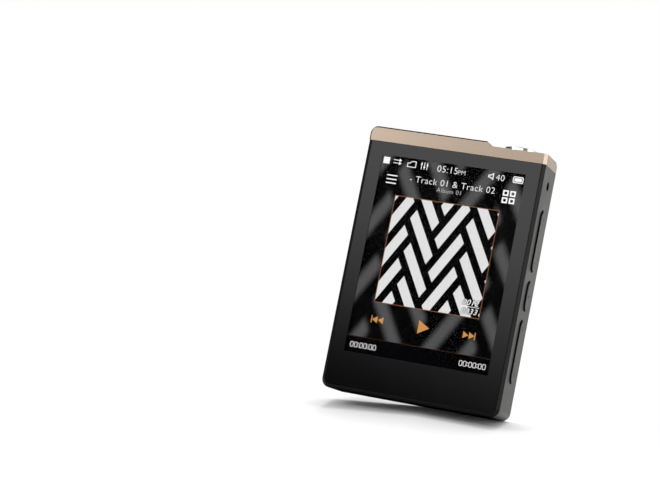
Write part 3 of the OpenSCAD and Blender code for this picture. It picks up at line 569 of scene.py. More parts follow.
def visible_finishes():
    """Finishes of the shells, the keys and the small fittings that show"""
    tint = colours()
    worn_bronze = (0.20, 0.195, 0.18)
    return {
        # the walls inside the case's side openings are painted black: painted shade in the slots
        "case_metal": dict(colour=tint.case, metallic=1.0, roughness=0.40, grain=11.0, variation=0.10,
                           gloss_variation=0.10, bump=0.22, wear_and_highlight=0.4, wear_and_highlight_colour=worn_bronze,
                           dark=painted_shade_in_openings),
        # the keys' side walls and mark floors are painted black: painted shade in the gaps and marks
        "key_metal": dict(colour=tint.case, metallic=1.0, roughness=0.38, grain=11.0, variation=0.10,
                          gloss_variation=0.10, bump=0.2, wear_and_highlight=0.0, dark=painted_shade_below_key_face),
        # the cap's pale gold edge colour is the tone of its lit bevel: painted highlight over rubbed edges
        "gold_metal": dict(colour=tint.cap, metallic=1.0, roughness=0.36, grain=10.0, variation=0.05,
                           gloss_variation=0.08, bump=0.15, wear_and_highlight=0.9, wear_and_highlight_colour=(0.95, 0.82, 0.64),
                           # the chamfer along the cap's raised part is painted black: painted shade
                           dark=painted_shade_on_cap_edge),
        # the back plate's side bevels are painted black: painted shade
        "back_metal": dict(colour=tint.back, metallic=1.0, roughness=0.34, grain=3.5,
                           stretch=(1.0, 1.0, 0.012), variation=0.9, gloss_variation=0.22, bump=0.5,
                           dark=painted_shade_on_back_bevel),
        "bezel_black": dict(colour=tint.bezel, roughness=0.24, grain=9.0, bump=0.04,
                            constants={"Specular IOR Level": 0.10}),
        "jack_plastic": dict(colour=(0.009, 0.009, 0.010), roughness=0.3, grain=9.0, bump=0.1),
        "button_chrome": dict(colour=tint.button, metallic=1.0, roughness=0.07, grain=12.0,
                              variation=0.02, gloss_variation=0.04, bump=0.02),
        "pipe_smoke": dict(colour=(0.10, 0.10, 0.105), roughness=0.2, grain=5.0, bump=0.02,
                           constants={"Coat Weight": 0.6, "Coat Roughness": 0.05}),
    }


def screen_window():
    """Left, right, lowest and highest of the lit window, in millimetres"""
    low, high = box_mm("display_panel")
    size = screen()
    return (low.x + size.side_margin / MM, high.x - size.side_margin / MM,
            low.z + size.bottom_margin / MM, high.z - size.top_margin / MM)


def window_mask(tree, blur=0.04):
    """1 over the lit window of the glass and 0 over its printed border"""
    left, right, bottom, top = screen_window()
    parts = add_node(tree, "SeparateXYZ", {0: object_millimetres(tree)})
    steps = [
        smooth_step(tree, parts.outputs[0], left - blur, left),
        smooth_step(tree, parts.outputs[0], right + blur, right),
        smooth_step(tree, parts.outputs[2], bottom - blur, bottom),
        smooth_step(tree, parts.outputs[2], top + blur, top),
    ]
    mask = steps[0]
    for step in steps[1:]:
        mask = maths(tree, "MULTIPLY", mask, step)
    return mask


def make_front_glass():
    """Glass with a black printed border: almost clear over the lit window"""
    glass = make_finish("front_glass", colours().glass, roughness=0.04, grain=2.0, variation=0.05,
                        gloss_variation=0.02, bump=0.004, constants={"IOR": 1.52})
    tree = glass.node_tree
    clear = maths(tree, "MULTIPLY_ADD", window_mask(tree), -0.965, 1.0)
    tree.links.new(clear, tree.nodes["Principled BSDF"].inputs["Alpha"])


def make_touch_film():
    """Clear film with a faint grid of sensor lines"""
    film = make_finish("touch_film", (0.01, 0.012, 0.016), roughness=0.3, grain=4.0, bump=0.01,
                       constants={"Specular IOR Level": 0.1})
    tree = film.node_tree
    parts = add_node(tree, "SeparateXYZ", {0: object_millimetres(tree)})
    lines = [maths(tree, "LESS_THAN", maths(tree, "FRACT", maths(tree, "DIVIDE", parts.outputs[i], 4.2)),
                   0.02) for i in (0, 2)]
    grid = maths(tree, "MAXIMUM", *lines)
    faint = maths(tree, "MULTIPLY_ADD", grid, 0.03, 0.02)
    tree.links.new(faint, tree.nodes["Principled BSDF"].inputs["Alpha"])


def make_lit(name, colour, strength=1.12):
    """Lit layer of the screen, with the fine grid of dots in its light"""
    lit = new_material(name)
    tree = lit.node_tree
    shader = tree.nodes["Principled BSDF"]
    light = use_group(tree, "Screen dots", Pitch_mm=screen().dot / MM).outputs[0]
    tree.links.new(mix_colours(tree, light, (0, 0, 0, 1), shaded(colour, 1.12)),
                   shader.inputs["Emission Color"])
    shader.inputs["Emission Strength"].default_value = strength
    shader.inputs["Base Color"].default_value = (0.002, 0.002, 0.002, 1)
    shader.inputs["Roughness"].default_value = 0.4
    shader.inputs["Specular IOR Level"].default_value = 0.0
    return lit


class PLAYER_OT_finishes(bpy.types.Operator):
    """Give every node of the frame its finish"""
    bl_idname = "player.finishes"
    bl_label = "Finishes"

    def execute(self, context):
        build_groups()
        for slot, choices in {**hidden_finishes(), **visible_finishes()}.items():
            make_finish(slot, **choices)
        make_front_glass()
        make_touch_film()
        for row in frame["record"]["subparts"]:
            node = frame["nodes"][row["node"]]
            node.data.materials.clear()
            node.data.materials.append(material(row["material_slot"]))
        return {"FINISHED"}


# ---------------------------------------------------------------- shells with softened edges

def softened(node, width, segments=2, angle=28.0):
    """A merged copy of a node, in millimetres, with its sharp edges rounded"""
    piece = bpy.data.objects.new(node + "_shell", frame["nodes"][node].data.copy())
    bpy.context.scene.collection.objects.link(piece)
    piece.matrix_world = Matrix.Scale(1 / MM, 4)
    activate(piece)
    bpy.ops.object.transform_apply(location=False, rotation=False, scale=True)
    edit(piece)
    bpy.ops.mesh.select_all(action="SELECT")
    bpy.ops.mesh.remove_doubles(threshold=0.0005)
    bpy.ops.mesh.customdata_custom_splitnormals_clear()
    bpy.ops.mesh.dissolve_limited(angle_limit=math.radians(0.5))
    leave_edit()
    apply_modifier(piece, "BEVEL", width=width / MM, segments=segments, limit_method="ANGLE",
                   angle_limit=math.radians(angle), harden_normals=False, use_clamp_overlap=True,
                   miter_outer="MITER_ARC")
    return piece


class PLAYER_OT_shells(bpy.types.Operator):
    """Make the case, the cap, the bezel, the back plate and the card door with softened edges"""
    bl_idname = "player.shells"
    bl_label = "Shells"

    def execute(self, context):
        width = edges().shell
        for node, slot, body in (
            ("main_housing", "case_metal", "case"),
            ("top_cap", "gold_metal", "case"),
            ("front_bezel", "bezel_black", "case"),
            ("back_plate", "back_metal", "case"),
            ("card_door", "case_metal", "door_body"),
        ):
            piece = softened(node, width)
            finish_piece(piece, body, material(slot), replaces=[node], flat_faces=True)
        return {"FINISHED"}


# ---------------------------------------------------------------- screen drawing helpers

def unit(vector):
    return vector / vector.length if vector.length else vector


def inset_outline(points, amount):
    """A closed outline of (x, z) points, listed anticlockwise, moved inwards with mitred corners"""
    count = len(points)
    moved = []
    for i in range(count):
        here = Vector(points[i])
        before = unit(here - Vector(points[i - 1]))
        after = unit(Vector(points[(i + 1) % count]) - here)
        normal_a = Vector((-before.y, before.x))
        normal_b = Vector((-after.y, after.x))
        middle = unit(normal_a + normal_b)
        moved.append(here + middle * amount / max(0.3, middle.dot(normal_a)))
    return [tuple(p) for p in moved]


def round_outline(points, radius, steps=4):
    """A closed outline with each corner replaced by an arc that starts radius away from it"""
    rounded = []
    count = len(points)
    for i in range(count):
        corner = Vector(points[i])
        start = corner + unit(Vector(points[i - 1]) - corner) * radius
        end = corner + unit(Vector(points[(i + 1) % count]) - corner) * radius
        for step in range(steps + 1):
            t = step / steps
            rounded.append(tuple(start * (1 - t) ** 2 + corner * 2 * t * (1 - t) + end * t ** 2))
    return rounded


def rectangle(x, z, width, height):
    """Corners of a rectangle round its centre"""
    return [(x - width / 2, z - height / 2), (x + width / 2, z - height / 2),
            (x + width / 2, z + height / 2), (x - width / 2, z + height / 2)]


def stroke(x0, z0, x1, z1, width):
    """Outline of a straight stroke between two points"""
    along = unit(Vector((x1 - x0, z1 - z0)))
    side = Vector((-along.y, along.x)) * width / 2
    ends = [Vector((x0, z0)) - side, Vector((x1, z1)) - side,
            Vector((x1, z1)) + side, Vector((x0, z0)) + side]
    return [tuple(p) for p in ends]


def ring(points, width):
    """A closed outline and its inner edge"""
    return [points, inset_outline(points, width)]


def flat_drawing(name, outlines):
    """A thin closed piece from flat outlines in X and Z; an outline inside another is a hole"""
    curve = bpy.data.curves.new(name, "CURVE")
    curve.dimensions = "2D"
    curve.fill_mode = "BOTH"
    curve.extrude = HAIR / 2
    for points in outlines:
        spline = curve.splines.new("POLY")
        spline.points.add(len(points) - 1)
        for target, (x, z) in zip(spline.points, points):
            target.co = (x, z, 0, 1)
        spline.use_cyclic_u = True
    piece = bpy.data.objects.new(name, curve)
    bpy.context.scene.collection.objects.link(piece)
    return piece


def lettering(name, text, x, z, height, align="LEFT", weight=-0.03, slant=0.0):
    """Lettering in X and Z whose capitals are height tall, from its baseline"""
    bpy.ops.object.text_add()
    piece = bpy.context.view_layer.objects.active
    piece.name = name
    piece.data.body = text
    piece.data.align_x = align
    piece.data.size = height / 0.73
    piece.data.extrude = HAIR / 2
    piece.data.offset = weight
    piece.data.shear = slant
    piece.data.space_character = 1.06
    piece.data.resolution_u = 4
    piece.location = (x, z, 0)
    return piece


def lay_on_screen(piece, layer, colour):
    """Makes a drawing a mesh, stands it up on the panel and lights it"""
    activate(piece)
    bpy.ops.object.convert(target="MESH")
    piece = bpy.context.view_layer.objects.active
    bpy.ops.object.transform_apply(location=True, rotation=True, scale=True)
    edit(piece)
    bpy.ops.mesh.select_all(action="SELECT")
    bpy.ops.mesh.remove_doubles(threshold=0.0002)
    bpy.ops.mesh.normals_make_consistent(inside=False)
    leave_edit()
    front = box_mm("display_panel")[0].y
    piece.rotation_euler = (math.radians(90), 0, 0)
    piece.location = (0, front - HAIR * (layer - 0.5), 0)
    return finish_piece(piece, "case", material(colour), smooth=20)


# ---------------------------------------------------------------- screen

BAR_SLANT = math.radians(60)     # slant of the woven bars
WEAVE = 3                        # a bar's length in pitches
BAR_EDGE = 0.22                  # gap beside a bar, as a share of the pitch


def woven_bars(pitch, reach):
    """Slanting bars of a plain parquet weave that cover a square of half side reach"""
    across = Vector((math.cos(BAR_SLANT), math.sin(BAR_SLANT))) * pitch
    back = Vector((-math.cos(BAR_SLANT), math.sin(BAR_SLANT))) * pitch
    count = int(reach / pitch * 2) + WEAVE
    bars = []
    for row in range(-count, count + 1):
        for turn in range(-count // WEAVE, count // WEAVE + 1):
            start = row + 2 * WEAVE * turn
            rising = (start + BAR_EDGE, start + WEAVE - BAR_EDGE, row + BAR_EDGE, row + 1 - BAR_EDGE)
            low = row - 2 * WEAVE * turn - 2 * WEAVE + 1
            falling = (row + BAR_EDGE, row + 1 - BAR_EDGE, low + BAR_EDGE, low + WEAVE - BAR_EDGE)
            for u0, u1, v0, v1 in (rising, falling):
                corners = [across * u + back * v for u, v in ((u0, v0), (u1, v0), (u1, v1), (u0, v1))]
                if all(min(p[i] for p in corners) < reach and max(p[i] for p in corners) > -reach
                       for i in (0, 1)):
                    bars.append(corners)
    return bars


def art_box():
    """Centre x, centre z and half side of the cover picture, in millimetres"""
    left, right, bottom, top = screen_window()
    half = screen().art_size / MM / 2
    return (left + right) / 2, top - screen().art_drop / MM - half, half


def trim(piece, x, z, half):
    """Cuts off what stands outside a square, with closed cuts"""
    for axis, sign in ((0, 1), (0, -1), (1, 1), (1, -1)):
        point = Vector((x, z, 0))
        point[axis] += sign * half
        normal = Vector((0, 0, 0))
        normal[axis] = sign
        edit(piece)
        bpy.ops.mesh.select_all(action="SELECT")
        bpy.ops.mesh.bisect(plane_co=point, plane_no=normal, clear_outer=True, use_fill=True,
                            threshold=0.00001)
        leave_edit()


class PLAYER_OT_cover_picture(bpy.types.Operator):
    """Draw the square cover picture of woven bars, with its thin rim"""
    bl_idname = "player.cover_picture"
    bl_label = "Cover picture"

    def execute(self, context):
        x, z, half = art_box()
        ground = flat_drawing("cover_ground", [rectangle(x, z, 2 * half, 2 * half)])
        lay_on_screen(ground, 2, "lit_black")
        bars = [[(p.x + x, p.y + z) for p in bar]
                for bar in woven_bars(screen().plank_pitch / MM, half)]
        piece = flat_drawing("cover_bars", bars)
        activate(piece)
        bpy.ops.object.convert(target="MESH")
        piece = bpy.context.view_layer.objects.active
        trim(piece, x, z, half - 0.05)
        lay_on_screen(piece, 3, "lit_bar")
        rim = flat_drawing("cover_rim", ring(rectangle(x, z, 2 * half + 0.3, 2 * half + 0.3), 0.2))
        lay_on_screen(rim, 3, "lit_rim")
        count_x = x + half - 5.7
        pieces = [("track_number", "0012", z - half + 3.35), ("track_count", "0033", z - half + 0.85)]
        for name, text, base in pieces:
            for layer, weight, colour in ((4, 0.14, "lit_black"), (5, 0.0, "lit_white")):
                count = lettering(f"{name}_{layer}", text, count_x, base, 1.7,
                                  weight=weight, slant=0.25)
                lay_on_screen(count, layer, colour)
        rule = flat_drawing("track_rule", [rectangle(count_x + 2.6, z - half + 2.95, 5.4, 0.16)])
        lay_on_screen(rule, 5, "lit_white")
        return {"FINISHED"}


def make_band_material():
    """Blurred, enlarged weave behind the picture, dark between its bands"""
    lit = make_lit("lit_band", colours().lit_band)
    tree = lit.node_tree
    x, z, half = art_box()
    parts = add_node(tree, "SeparateXYZ", {0: object_millimetres(tree, centre=(x + 3.0, 0, z + 2.0))})
    pitch = screen().band_pitch / MM
    over_x = maths(tree, "DIVIDE", parts.outputs[0], 2 * pitch * math.cos(BAR_SLANT))
    over_z = maths(tree, "DIVIDE", parts.outputs[2], 2 * pitch * math.sin(BAR_SLANT))
    u = maths(tree, "ADD", over_z, over_x)
    v = maths(tree, "SUBTRACT", over_z, over_x)
    soft, edge = 0.26, 0.32

    def band(along, across, shift):
        """Soft mask of the bars that run along one coordinate"""
        row = maths(tree, "FLOOR", across)
        run = maths(tree, "FLOORED_MODULO", maths(tree, "ADD", maths(tree, "SUBTRACT", along, row), shift),
                    2.0 * WEAVE)
        inside = maths(tree, "FRACT", across)
        mask = smooth_step(tree, inside, edge - soft / 2, edge + soft / 2)
        for value, start, end in (
            (inside, 1 - edge + soft / 2, 1 - edge - soft / 2),
            (run, 0.0, soft),
            (run, WEAVE, WEAVE - soft),
        ):
            mask = maths(tree, "MULTIPLY", mask, smooth_step(tree, value, start, end))
        return mask

    bands = maths(tree, "MAXIMUM", band(u, v, 0.0), band(v, u, 2.0 * WEAVE - 1))
    shader = tree.nodes["Principled BSDF"]
    source = shader.inputs["Emission Color"].links[0].from_socket
    tree.links.new(mix_colours(tree, bands, (0, 0, 0, 1), source), shader.inputs["Emission Color"])


class PLAYER_OT_backdrop(bpy.types.Operator):
    """Light the screen's backdrop and its black strip for the times"""
    bl_idname = "player.backdrop"
    bl_label = "Screen backdrop"

    def execute(self, context):
        tint = colours()
        make_lit("lit_white", tint.lit_white)
        make_lit("lit_bar", tint.lit_bar)
        make_lit("lit_grey", tint.lit_bar, strength=0.9)
        make_lit("lit_amber", tint.lit_amber)
        make_lit("lit_rim", tint.lit_rim)
        make_lit("lit_line", tint.lit_rim, strength=0.3)
        make_lit("lit_black", (0.0, 0.0, 0.0))
        make_band_material()
        left, right, bottom, top = screen_window()
        strip = screen().strip / MM
        middle = (left + right) / 2
        width = right - left + 0.6
        height = top - bottom - strip + 0.3
        shape = rectangle(middle, bottom + strip + height / 2, width, height)
        field = flat_drawing("backdrop", [shape])
        lay_on_screen(field, 1, "lit_band")
        line = flat_drawing("strip_line", [rectangle(middle, bottom + strip, width, 0.12)])
        lay_on_screen(line, 2, "lit_line")
        return {"FINISHED"}


def arrow(x, z, length, size, width):
    """Outlines of an arrow that points to the right"""
    tip = x + length / 2
    return [stroke(x - length / 2, z, tip - size, z, width),
            [(tip - size, z - size * 0.7), (tip, z), (tip - size, z + size * 0.7)]]


def folder_outline(x, z):
    """Outline of a folder with its raised tab at the right"""
    return [(x - 1.4, z - 0.95), (x + 1.3, z - 0.95), (x + 1.3, z + 0.95), (x - 0.1, z + 0.95),
            (x - 0.7, z + 0.35), (x - 1.4, z + 0.35)]


def speaker_outline(x, z):
    return [(x - 0.85, z - 0.4), (x - 0.3, z - 0.4), (x + 0.75, z - 1.05), (x + 0.75, z + 1.05),
            (x - 0.3, z + 0.4), (x - 0.85, z + 0.4)]


class PLAYER_OT_status_bar(bpy.types.Operator):
    """Draw the row of status icons, the clock and the battery gauge"""
    bl_idname = "player.status_bar"
    bl_label = "Status bar"

    def execute(self, context):
        left, right, bottom, top = screen_window()
        middle = (left + right) / 2
        row = top - 1.5
        line = 0.2
        battery = round_outline(rectangle(middle + 19.3, row - 0.15, 3.1, 1.9), 0.5)
        icons = {
            "stop_icon": [rectangle(middle - 20.3, row + 0.15, 1.9, 1.9)],
            "repeat_icon": arrow(middle - 16.95, row + 0.62, 2.5, 0.75, line)
            + arrow(middle - 16.95, row - 0.28, 2.5, 0.75, line),
            "folder_icon": ring(folder_outline(middle - 12.55, row), 0.22),
            "battery_icon": ring(battery, 0.26)
            + [round_outline(rectangle(middle + 19.3, row - 0.15, 2.2, 1.0), 0.2)],
            "speaker_icon": ring(speaker_outline(middle + 11.3, row - 0.15), 0.26),
            "menu_icon": [rectangle(middle - 17.75, top - 5.53 - 1.12 * i, 3.1, 0.32)
                          for i in range(3)],
        }
        sliders = []
        for i, knob in enumerate((0.45, -0.35, 0.3)):
            x = middle - 9.6 + 0.85 * i
            sliders.append(rectangle(x, row, 0.2, 2.1))
            sliders.append(rectangle(x, row + knob, 0.5, 0.38))
        tiles = []
        for i in (-1, 1):
            for j in (-1, 1):
                tile = rectangle(middle + 17.5 + 1.05 * i, top - 6.86 + 1.05 * j, 1.65, 1.65)
                tiles += ring(tile, 0.42)
        icons["tiles_icon"] = tiles
        for name, outlines in icons.items():
            lay_on_screen(flat_drawing(name, outlines), 2, "lit_white")
        for i in range(3):
            pair = sliders[2 * i:2 * i + 2]
            stem = flat_drawing(f"slider_{i + 1}", pair[:1])
            lay_on_screen(stem, 2, "lit_white")
            knob = flat_drawing(f"slider_knob_{i + 1}", pair[1:])
            lay_on_screen(knob, 3, "lit_white")
        for name, text, x, base, height in (
            ("clock", "05:15", middle - 4.9, row - 1.05, 2.0),
            ("clock_half", "PM", middle + 1.35, row - 1.0, 1.35),
            ("volume_level", "40", middle + 12.7, row - 1.1, 1.9),
        ):
            lay_on_screen(lettering(name, text, x, base, height), 2, "lit_white")
        return {"FINISHED"}


class PLAYER_OT_titles(bpy.types.Operator):
    """Write the plain title and subtitle"""
    bl_idname = "player.titles"
    bl_label = "Titles"

    title: StringProperty(name="Title", description="Plain words over the picture",
                          default="- Track 01 & Track 02")
    subtitle: StringProperty(name="Subtitle", description="Smaller words under the title",
                             default="Album 01")

    def execute(self, context):
        left, right, bottom, top = screen_window()
        middle = (left + right) / 2
        head = lettering("title", self.title, middle + 0.45, top - 6.55, 1.95, "CENTER")
        lay_on_screen(head, 2, "lit_white")
        under = lettering("subtitle", self.subtitle, middle, top - 8.4, 1.35, "CENTER")
        lay_on_screen(under, 2, "lit_grey")
        return {"FINISHED"}


def zero_time(x, base):
    """Outlines of 00:00:00, from the left end of its baseline"""
    width, height, dot = 1.0, 1.6, 0.24
    outlines = []
    for sign in "00:00:00":
        if sign == "0":
            digit = rectangle(x + width / 2, base + height / 2, width, height)
            outlines += ring(round_outline(digit, 0.48), 0.15)
            x += width + 0.2
        else:
            outlines += [rectangle(x + 0.1, base + rise, dot, dot) for rise in (0.4, 1.2)]
            x += 0.42
    return outlines


class PLAYER_OT_transport(bpy.types.Operator):
    """Draw the amber transport icons and the two times"""
    bl_idname = "player.transport"
    bl_label = "Transport icons"

    def execute(self, context):
        left, right, bottom, top = screen_window()
        middle = (left + right) / 2
        row = bottom + 10.3
        play = [(middle - 1.4, row - 1.95), (middle + 1.9, row), (middle - 1.4, row + 1.95)]
        lay_on_screen(flat_drawing("play_icon", [play]), 2, "lit_amber")
        for name, side in (("previous_icon", -1), ("next_icon", 1)):
            x = middle + side * 13.7
            outlines = [rectangle(x + side * 1.75, row, 0.28, 2.1)]
            for start in (-1.75, 0.0):
                points = [(x + side * start, row - 1.0), (x + side * (start + 1.65), row),
                          (x + side * start, row + 1.0)]
                outlines.append(points if side > 0 else points[::-1])
            lay_on_screen(flat_drawing(name, outlines), 2, "lit_amber")
        base = bottom + 1.45
        for name, x in (("time_gone", left + 1.1), ("time_left", right - 9.1)):
            lay_on_screen(flat_drawing(name, zero_time(x, base)), 2, "lit_white")
        return {"FINISHED"}


# ---------------------------------------------------------------- keys, button and sockets

def mark_cutter(name, outlines, y, z, face_x, depth):
    """Cutter for a mark on the right-hand side: outlines across Y and Z, sunk into face_x"""
    piece = flat_drawing(name, outlines)
    piece.data.extrude = depth
    activate(piece)
    bpy.ops.object.convert(target="MESH")
    piece = bpy.context.view_layer.objects.active
    edit(piece)
    bpy.ops.mesh.select_all(action="SELECT")
    bpy.ops.mesh.remove_doubles(threshold=0.0005)
    bpy.ops.mesh.normals_make_consistent(inside=False)
    leave_edit()
    turn = Matrix(((0, 0, 1), (1, 0, 0), (0, 1, 0))).to_4x4()
    piece.matrix_world = Matrix.Translation((face_x, y, z)) @ turn
    return piece


def engrave(piece, cutter):
    """Cuts a mark into a piece and removes the cutter"""
    apply_modifier(piece, "BOOLEAN", operation="DIFFERENCE", solver="EXACT", object=cutter)
    bpy.data.objects.remove(cutter)


class PLAYER_OT_keys(bpy.types.Operator):
    """Make the three side keys with softened edges and engraved marks"""
    bl_idname = "player.keys"
    bl_label = "Side keys"

    def execute(self, context):
        size = edges()
        bar = 0.22
        plus = [rectangle(0, 0, 1.2, bar), rectangle(0, 0, bar, 1.2)]
        triangle = [(-0.5, -0.35), (0.5, -0.35), (0, 0.45)]
        marks = {
            "volume_rocker": {"louder_mark": (plus, 6.4), "quieter_mark": (plus[:1], -6.4)},
            "play_key": {"play_mark": ([triangle], 0.0)},
            "skip_rocker": {"next_mark": ([triangle, rectangle(0, 0.62, 1.0, 0.16)], 6.4),
                            "previous_mark": ([[(0.5, 0.35), (-0.5, 0.35), (0, -0.45)],
                                               rectangle(0, -0.62, 1.0, 0.16)], -6.4)},
        }
        for node, drawings in marks.items():
            low, high = box_mm(node)
            body = frame["nodes"][node]["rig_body"]
            piece = softened(node, size.key, segments=3)
            middle_y = (low.y + high.y) / 2
            middle_z = (low.z + high.z) / 2
            for name, (outlines, shift) in drawings.items():
                for outline in outlines:
                    engrave(piece, mark_cutter(name, [outline], middle_y, middle_z + shift, high.x,
                                               size.mark / MM))
            finish_piece(piece, body, material("key_metal"), replaces=[node],
                         flat_faces=True)
        return {"FINISHED"}


def spun(name, profile, centre, steps=96):
    """A turned piece: a profile of (radius, height) points spun about the Z axis at centre"""
    bpy.ops.mesh.primitive_plane_add(size=1)
    piece = active_piece(name)
    edit(piece, "VERT")
    bpy.ops.mesh.select_all(action="SELECT")
    bpy.ops.mesh.merge(type="CENTER")
    leave_edit()
    start = piece.data.vertices[0]
    start.co = (profile[0][0], 0, profile[0][1])
    edit(piece, "VERT")
    bpy.ops.mesh.select_all(action="SELECT")
    for (r0, z0), (r1, z1) in zip(profile, profile[1:]):
        bpy.ops.mesh.extrude_region_move(TRANSFORM_OT_translate={"value": (r1 - r0, 0, z1 - z0)})
    bpy.ops.mesh.select_all(action="SELECT")
    bpy.ops.mesh.spin(steps=steps, angle=math.tau, center=(0, 0, 0), axis=(0, 0, 1))
    bpy.ops.mesh.select_all(action="SELECT")
    bpy.ops.mesh.remove_doubles(threshold=0.0005)
    bpy.ops.mesh.normals_make_consistent(inside=False)
    leave_edit()
    piece.location = centre
    return piece


class PLAYER_OT_power_button(bpy.types.Operator):
    """Turn the power button: a dished, polished face with a rim and a fine chamfer"""
    bl_idname = "player.power_button"
    bl_label = "Power button"

    def execute(self, context):
        low, high = box_mm("power_button")
        centre = ((low.x + high.x) / 2, (low.y + high.y) / 2, 0)
        r = (high.x - low.x) / 2
        top = high.z
        dish = edges().dish / MM
        rim = 0.55
        chamfer = 0.2
        inner = r - chamfer - rim
        profile = [(0.0, top - dish)]
        profile += [(inner * t, top - dish * (1 - t ** 2 * 0.15)) for t in (0.25, 0.5, 0.75, 1.0)]
        profile += [(inner + 0.05, top - 0.02), (inner + 0.10, top), (r - chamfer, top),
                    (r - chamfer * 0.4, top - chamfer * 0.25), (r, top - chamfer), (r, low.z + 0.06),
                    (r - 0.06, low.z), (2.0, low.z), (2.0, low.z + 0.8), (0.0, low.z + 0.8)]
        piece = spun("power_button_cap", profile, centre)
        finish_piece(piece, "power_body", material("button_chrome"), smooth=28,
                     replaces=["power_button"])
        return {"FINISHED"}


class PLAYER_OT_headphone_ring(bpy.types.Operator):
    """Turn the thin metal ring at the mouth of the headphone jack"""
    bl_idname = "player.headphone_ring"
    bl_label = "Headphone ring"

    def execute(self, context):
        low, high = box_mm("headphone_jack")
        mount = next(m for m in frame["record"]["mounts"] if m["name"] == "headphone_socket")
        x, y = mount["pos_m"][0] / MM, mount["pos_m"][1] / MM
        bore = mount["dims"]["r_mm"]
        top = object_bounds()[1].z / MM
        inner, outer, depth = bore + 0.05, bore + 0.85, 0.8
        base = high.z - 0.02
        profile = [(inner, base), (outer, base), (outer, base + 0.05), (outer - 0.08, top - 0.01),
                   (inner + 0.22, top - 0.01), (inner, base + 0.03)]
        piece = spun("headphone_ring", profile + profile[:1], (x, y, 0), steps=72)
        finish_piece(piece, "case", material("button_chrome"), smooth=25)
        return {"FINISHED"}


class PLAYER_OT_usb_contacts(bpy.types.Operator):
    """Lay the five gold contacts on the tongue of the socket"""
    bl_idname = "player.usb_contacts"
    bl_label = "Socket contacts"

    count: IntProperty(name="Contacts", description="How many contacts the tongue carries", default=5)

    def execute(self, context):
        low, high = box_mm("usb_tongue")
        pitch = 0.65
        width, thick = 0.35, 0.08
        strips = []
        for i in range(self.count):
            x = (i - (self.count - 1) / 2) * pitch
            bpy.ops.mesh.primitive_cube_add(size=1)
            strip = active_piece(f"contact_{i}")
            strip.scale = (width, thick, high.z - low.z - 0.6)
            strip.location = (x, low.y - thick / 2 + 0.01, (low.z + high.z) / 2 + 0.15)
            bpy.ops.object.transform_apply(location=True, rotation=True, scale=True)
            select_faces(strip, lambda centre, normal: normal.z < -0.9)
            bpy.ops.transform.translate(value=(0, 0.03, 0))
            bpy.ops.transform.resize(value=(0.6, 1, 1), center_override=(x, 0, 0))
            leave_edit()
            apply_modifier(strip, "BEVEL", width=0.015, segments=2, limit_method="ANGLE")
            strips.append(strip)
        piece = join("usb_contacts", strips)
        finish_piece(piece, "case", material("contact_gold"))
        return {"FINISHED"}


class PLAYER_OT_indicator_lens(bpy.types.Operator):
    """Dome the end of the indicator's light pipe"""
    bl_idname = "player.indicator_lens"
    bl_label = "Indicator lens"

    def execute(self, context):
        low, high = box_mm("indicator_light_pipe")
        y, z = (low.y + high.y) / 2, (low.z + high.z) / 2
        r = 0.6
        profile = [(0.0, 0.18), (r * 0.4, 0.15), (r * 0.75, 0.08), (r * 0.97, 0.0), (r * 0.97, -0.2),
                   (0.0, -0.2)]
        piece = spun("indicator_lens", profile, (0, 0, 0), steps=48)
        piece.rotation_euler = (0, math.radians(90), 0)
        piece.location = (high.x, y, z)
        finish_piece(piece, "case", material("pipe_smoke"))
        return {"FINISHED"}


# ---------------------------------------------------------------- stage

def camera_axes():
    """Place, right, up and view direction of the camera"""
    stage = bpy.context.scene.player_stage
    low, high = CAD_BOX
    centre = Vector((0, 0, (low.z + high.z) / 2))
    az, el = stage.azimuth, stage.elevation
    back = Vector((math.sin(az) * math.cos(el), -math.cos(az) * math.cos(el), math.sin(el)))
    right = Vector((math.cos(az), math.sin(az), 0))
    up = back.cross(right)
    place = centre + back * stage.distance
    aim = centre + right * stage.aim_side + up * stage.aim_up
    forward = (aim - place).normalized()
    level = forward.cross(Vector((0, 0, 1))).normalized()
    above = level.cross(forward)
    turned = level * math.cos(stage.roll) + above * math.sin(stage.roll)
    return place, turned, turned.cross(forward), forward


def one_sided_material(name, fades=False):
    """Pale floor that can't be seen from below, and that may fade in from its back edge"""
    settings = bpy.context.scene.player_stage
    floor = new_material(name)
    tree = floor.node_tree
    shader = tree.nodes["Principled BSDF"]
    shader.inputs["Base Color"].default_value = (0.93, 0.93, 0.93, 1)
    shader.inputs["Roughness"].default_value = 0.9
    shader.inputs["Specular IOR Level"].default_value = 0.0
    clear = add_node(tree, "BsdfTransparent")
    hidden = tree.nodes.new("ShaderNodeNewGeometry").outputs["Backfacing"]
    if not fades:
        away = add_node(tree, "VectorMath", {0: object_millimetres(tree)}, operation="LENGTH")
        gone = smooth_step(tree, away.outputs["Value"], 250.0, 700.0)
    else:
        x, y, z = add_node(tree, "SeparateXYZ", {0: object_millimetres(tree)}).outputs
        aside = maths(tree, "MAXIMUM", maths(tree, "MULTIPLY", x, -1.0), 0.0)
        aside = maths(tree, "MINIMUM", aside, settings.behind / MM)
        start = maths(tree, "MULTIPLY_ADD", aside, -0.2, -0.2)
        span = maths(tree, "MULTIPLY_ADD", aside, 1.2, 0.2)
        gone = maths(tree, "DIVIDE", maths(tree, "SUBTRACT", y, start), span)
        gone = smooth_step(tree, gone, 0.0, 1.0)
    hidden = maths(tree, "MAXIMUM", hidden, gone)
    mixed = add_node(tree, "MixShader", {0: hidden})
    tree.links.new(shader.outputs[0], mixed.inputs[1])
    tree.links.new(clear.outputs[0], mixed.inputs[2])
    tree.links.new(mixed.outputs[0], tree.nodes["Material Output"].inputs["Surface"])
    return floor


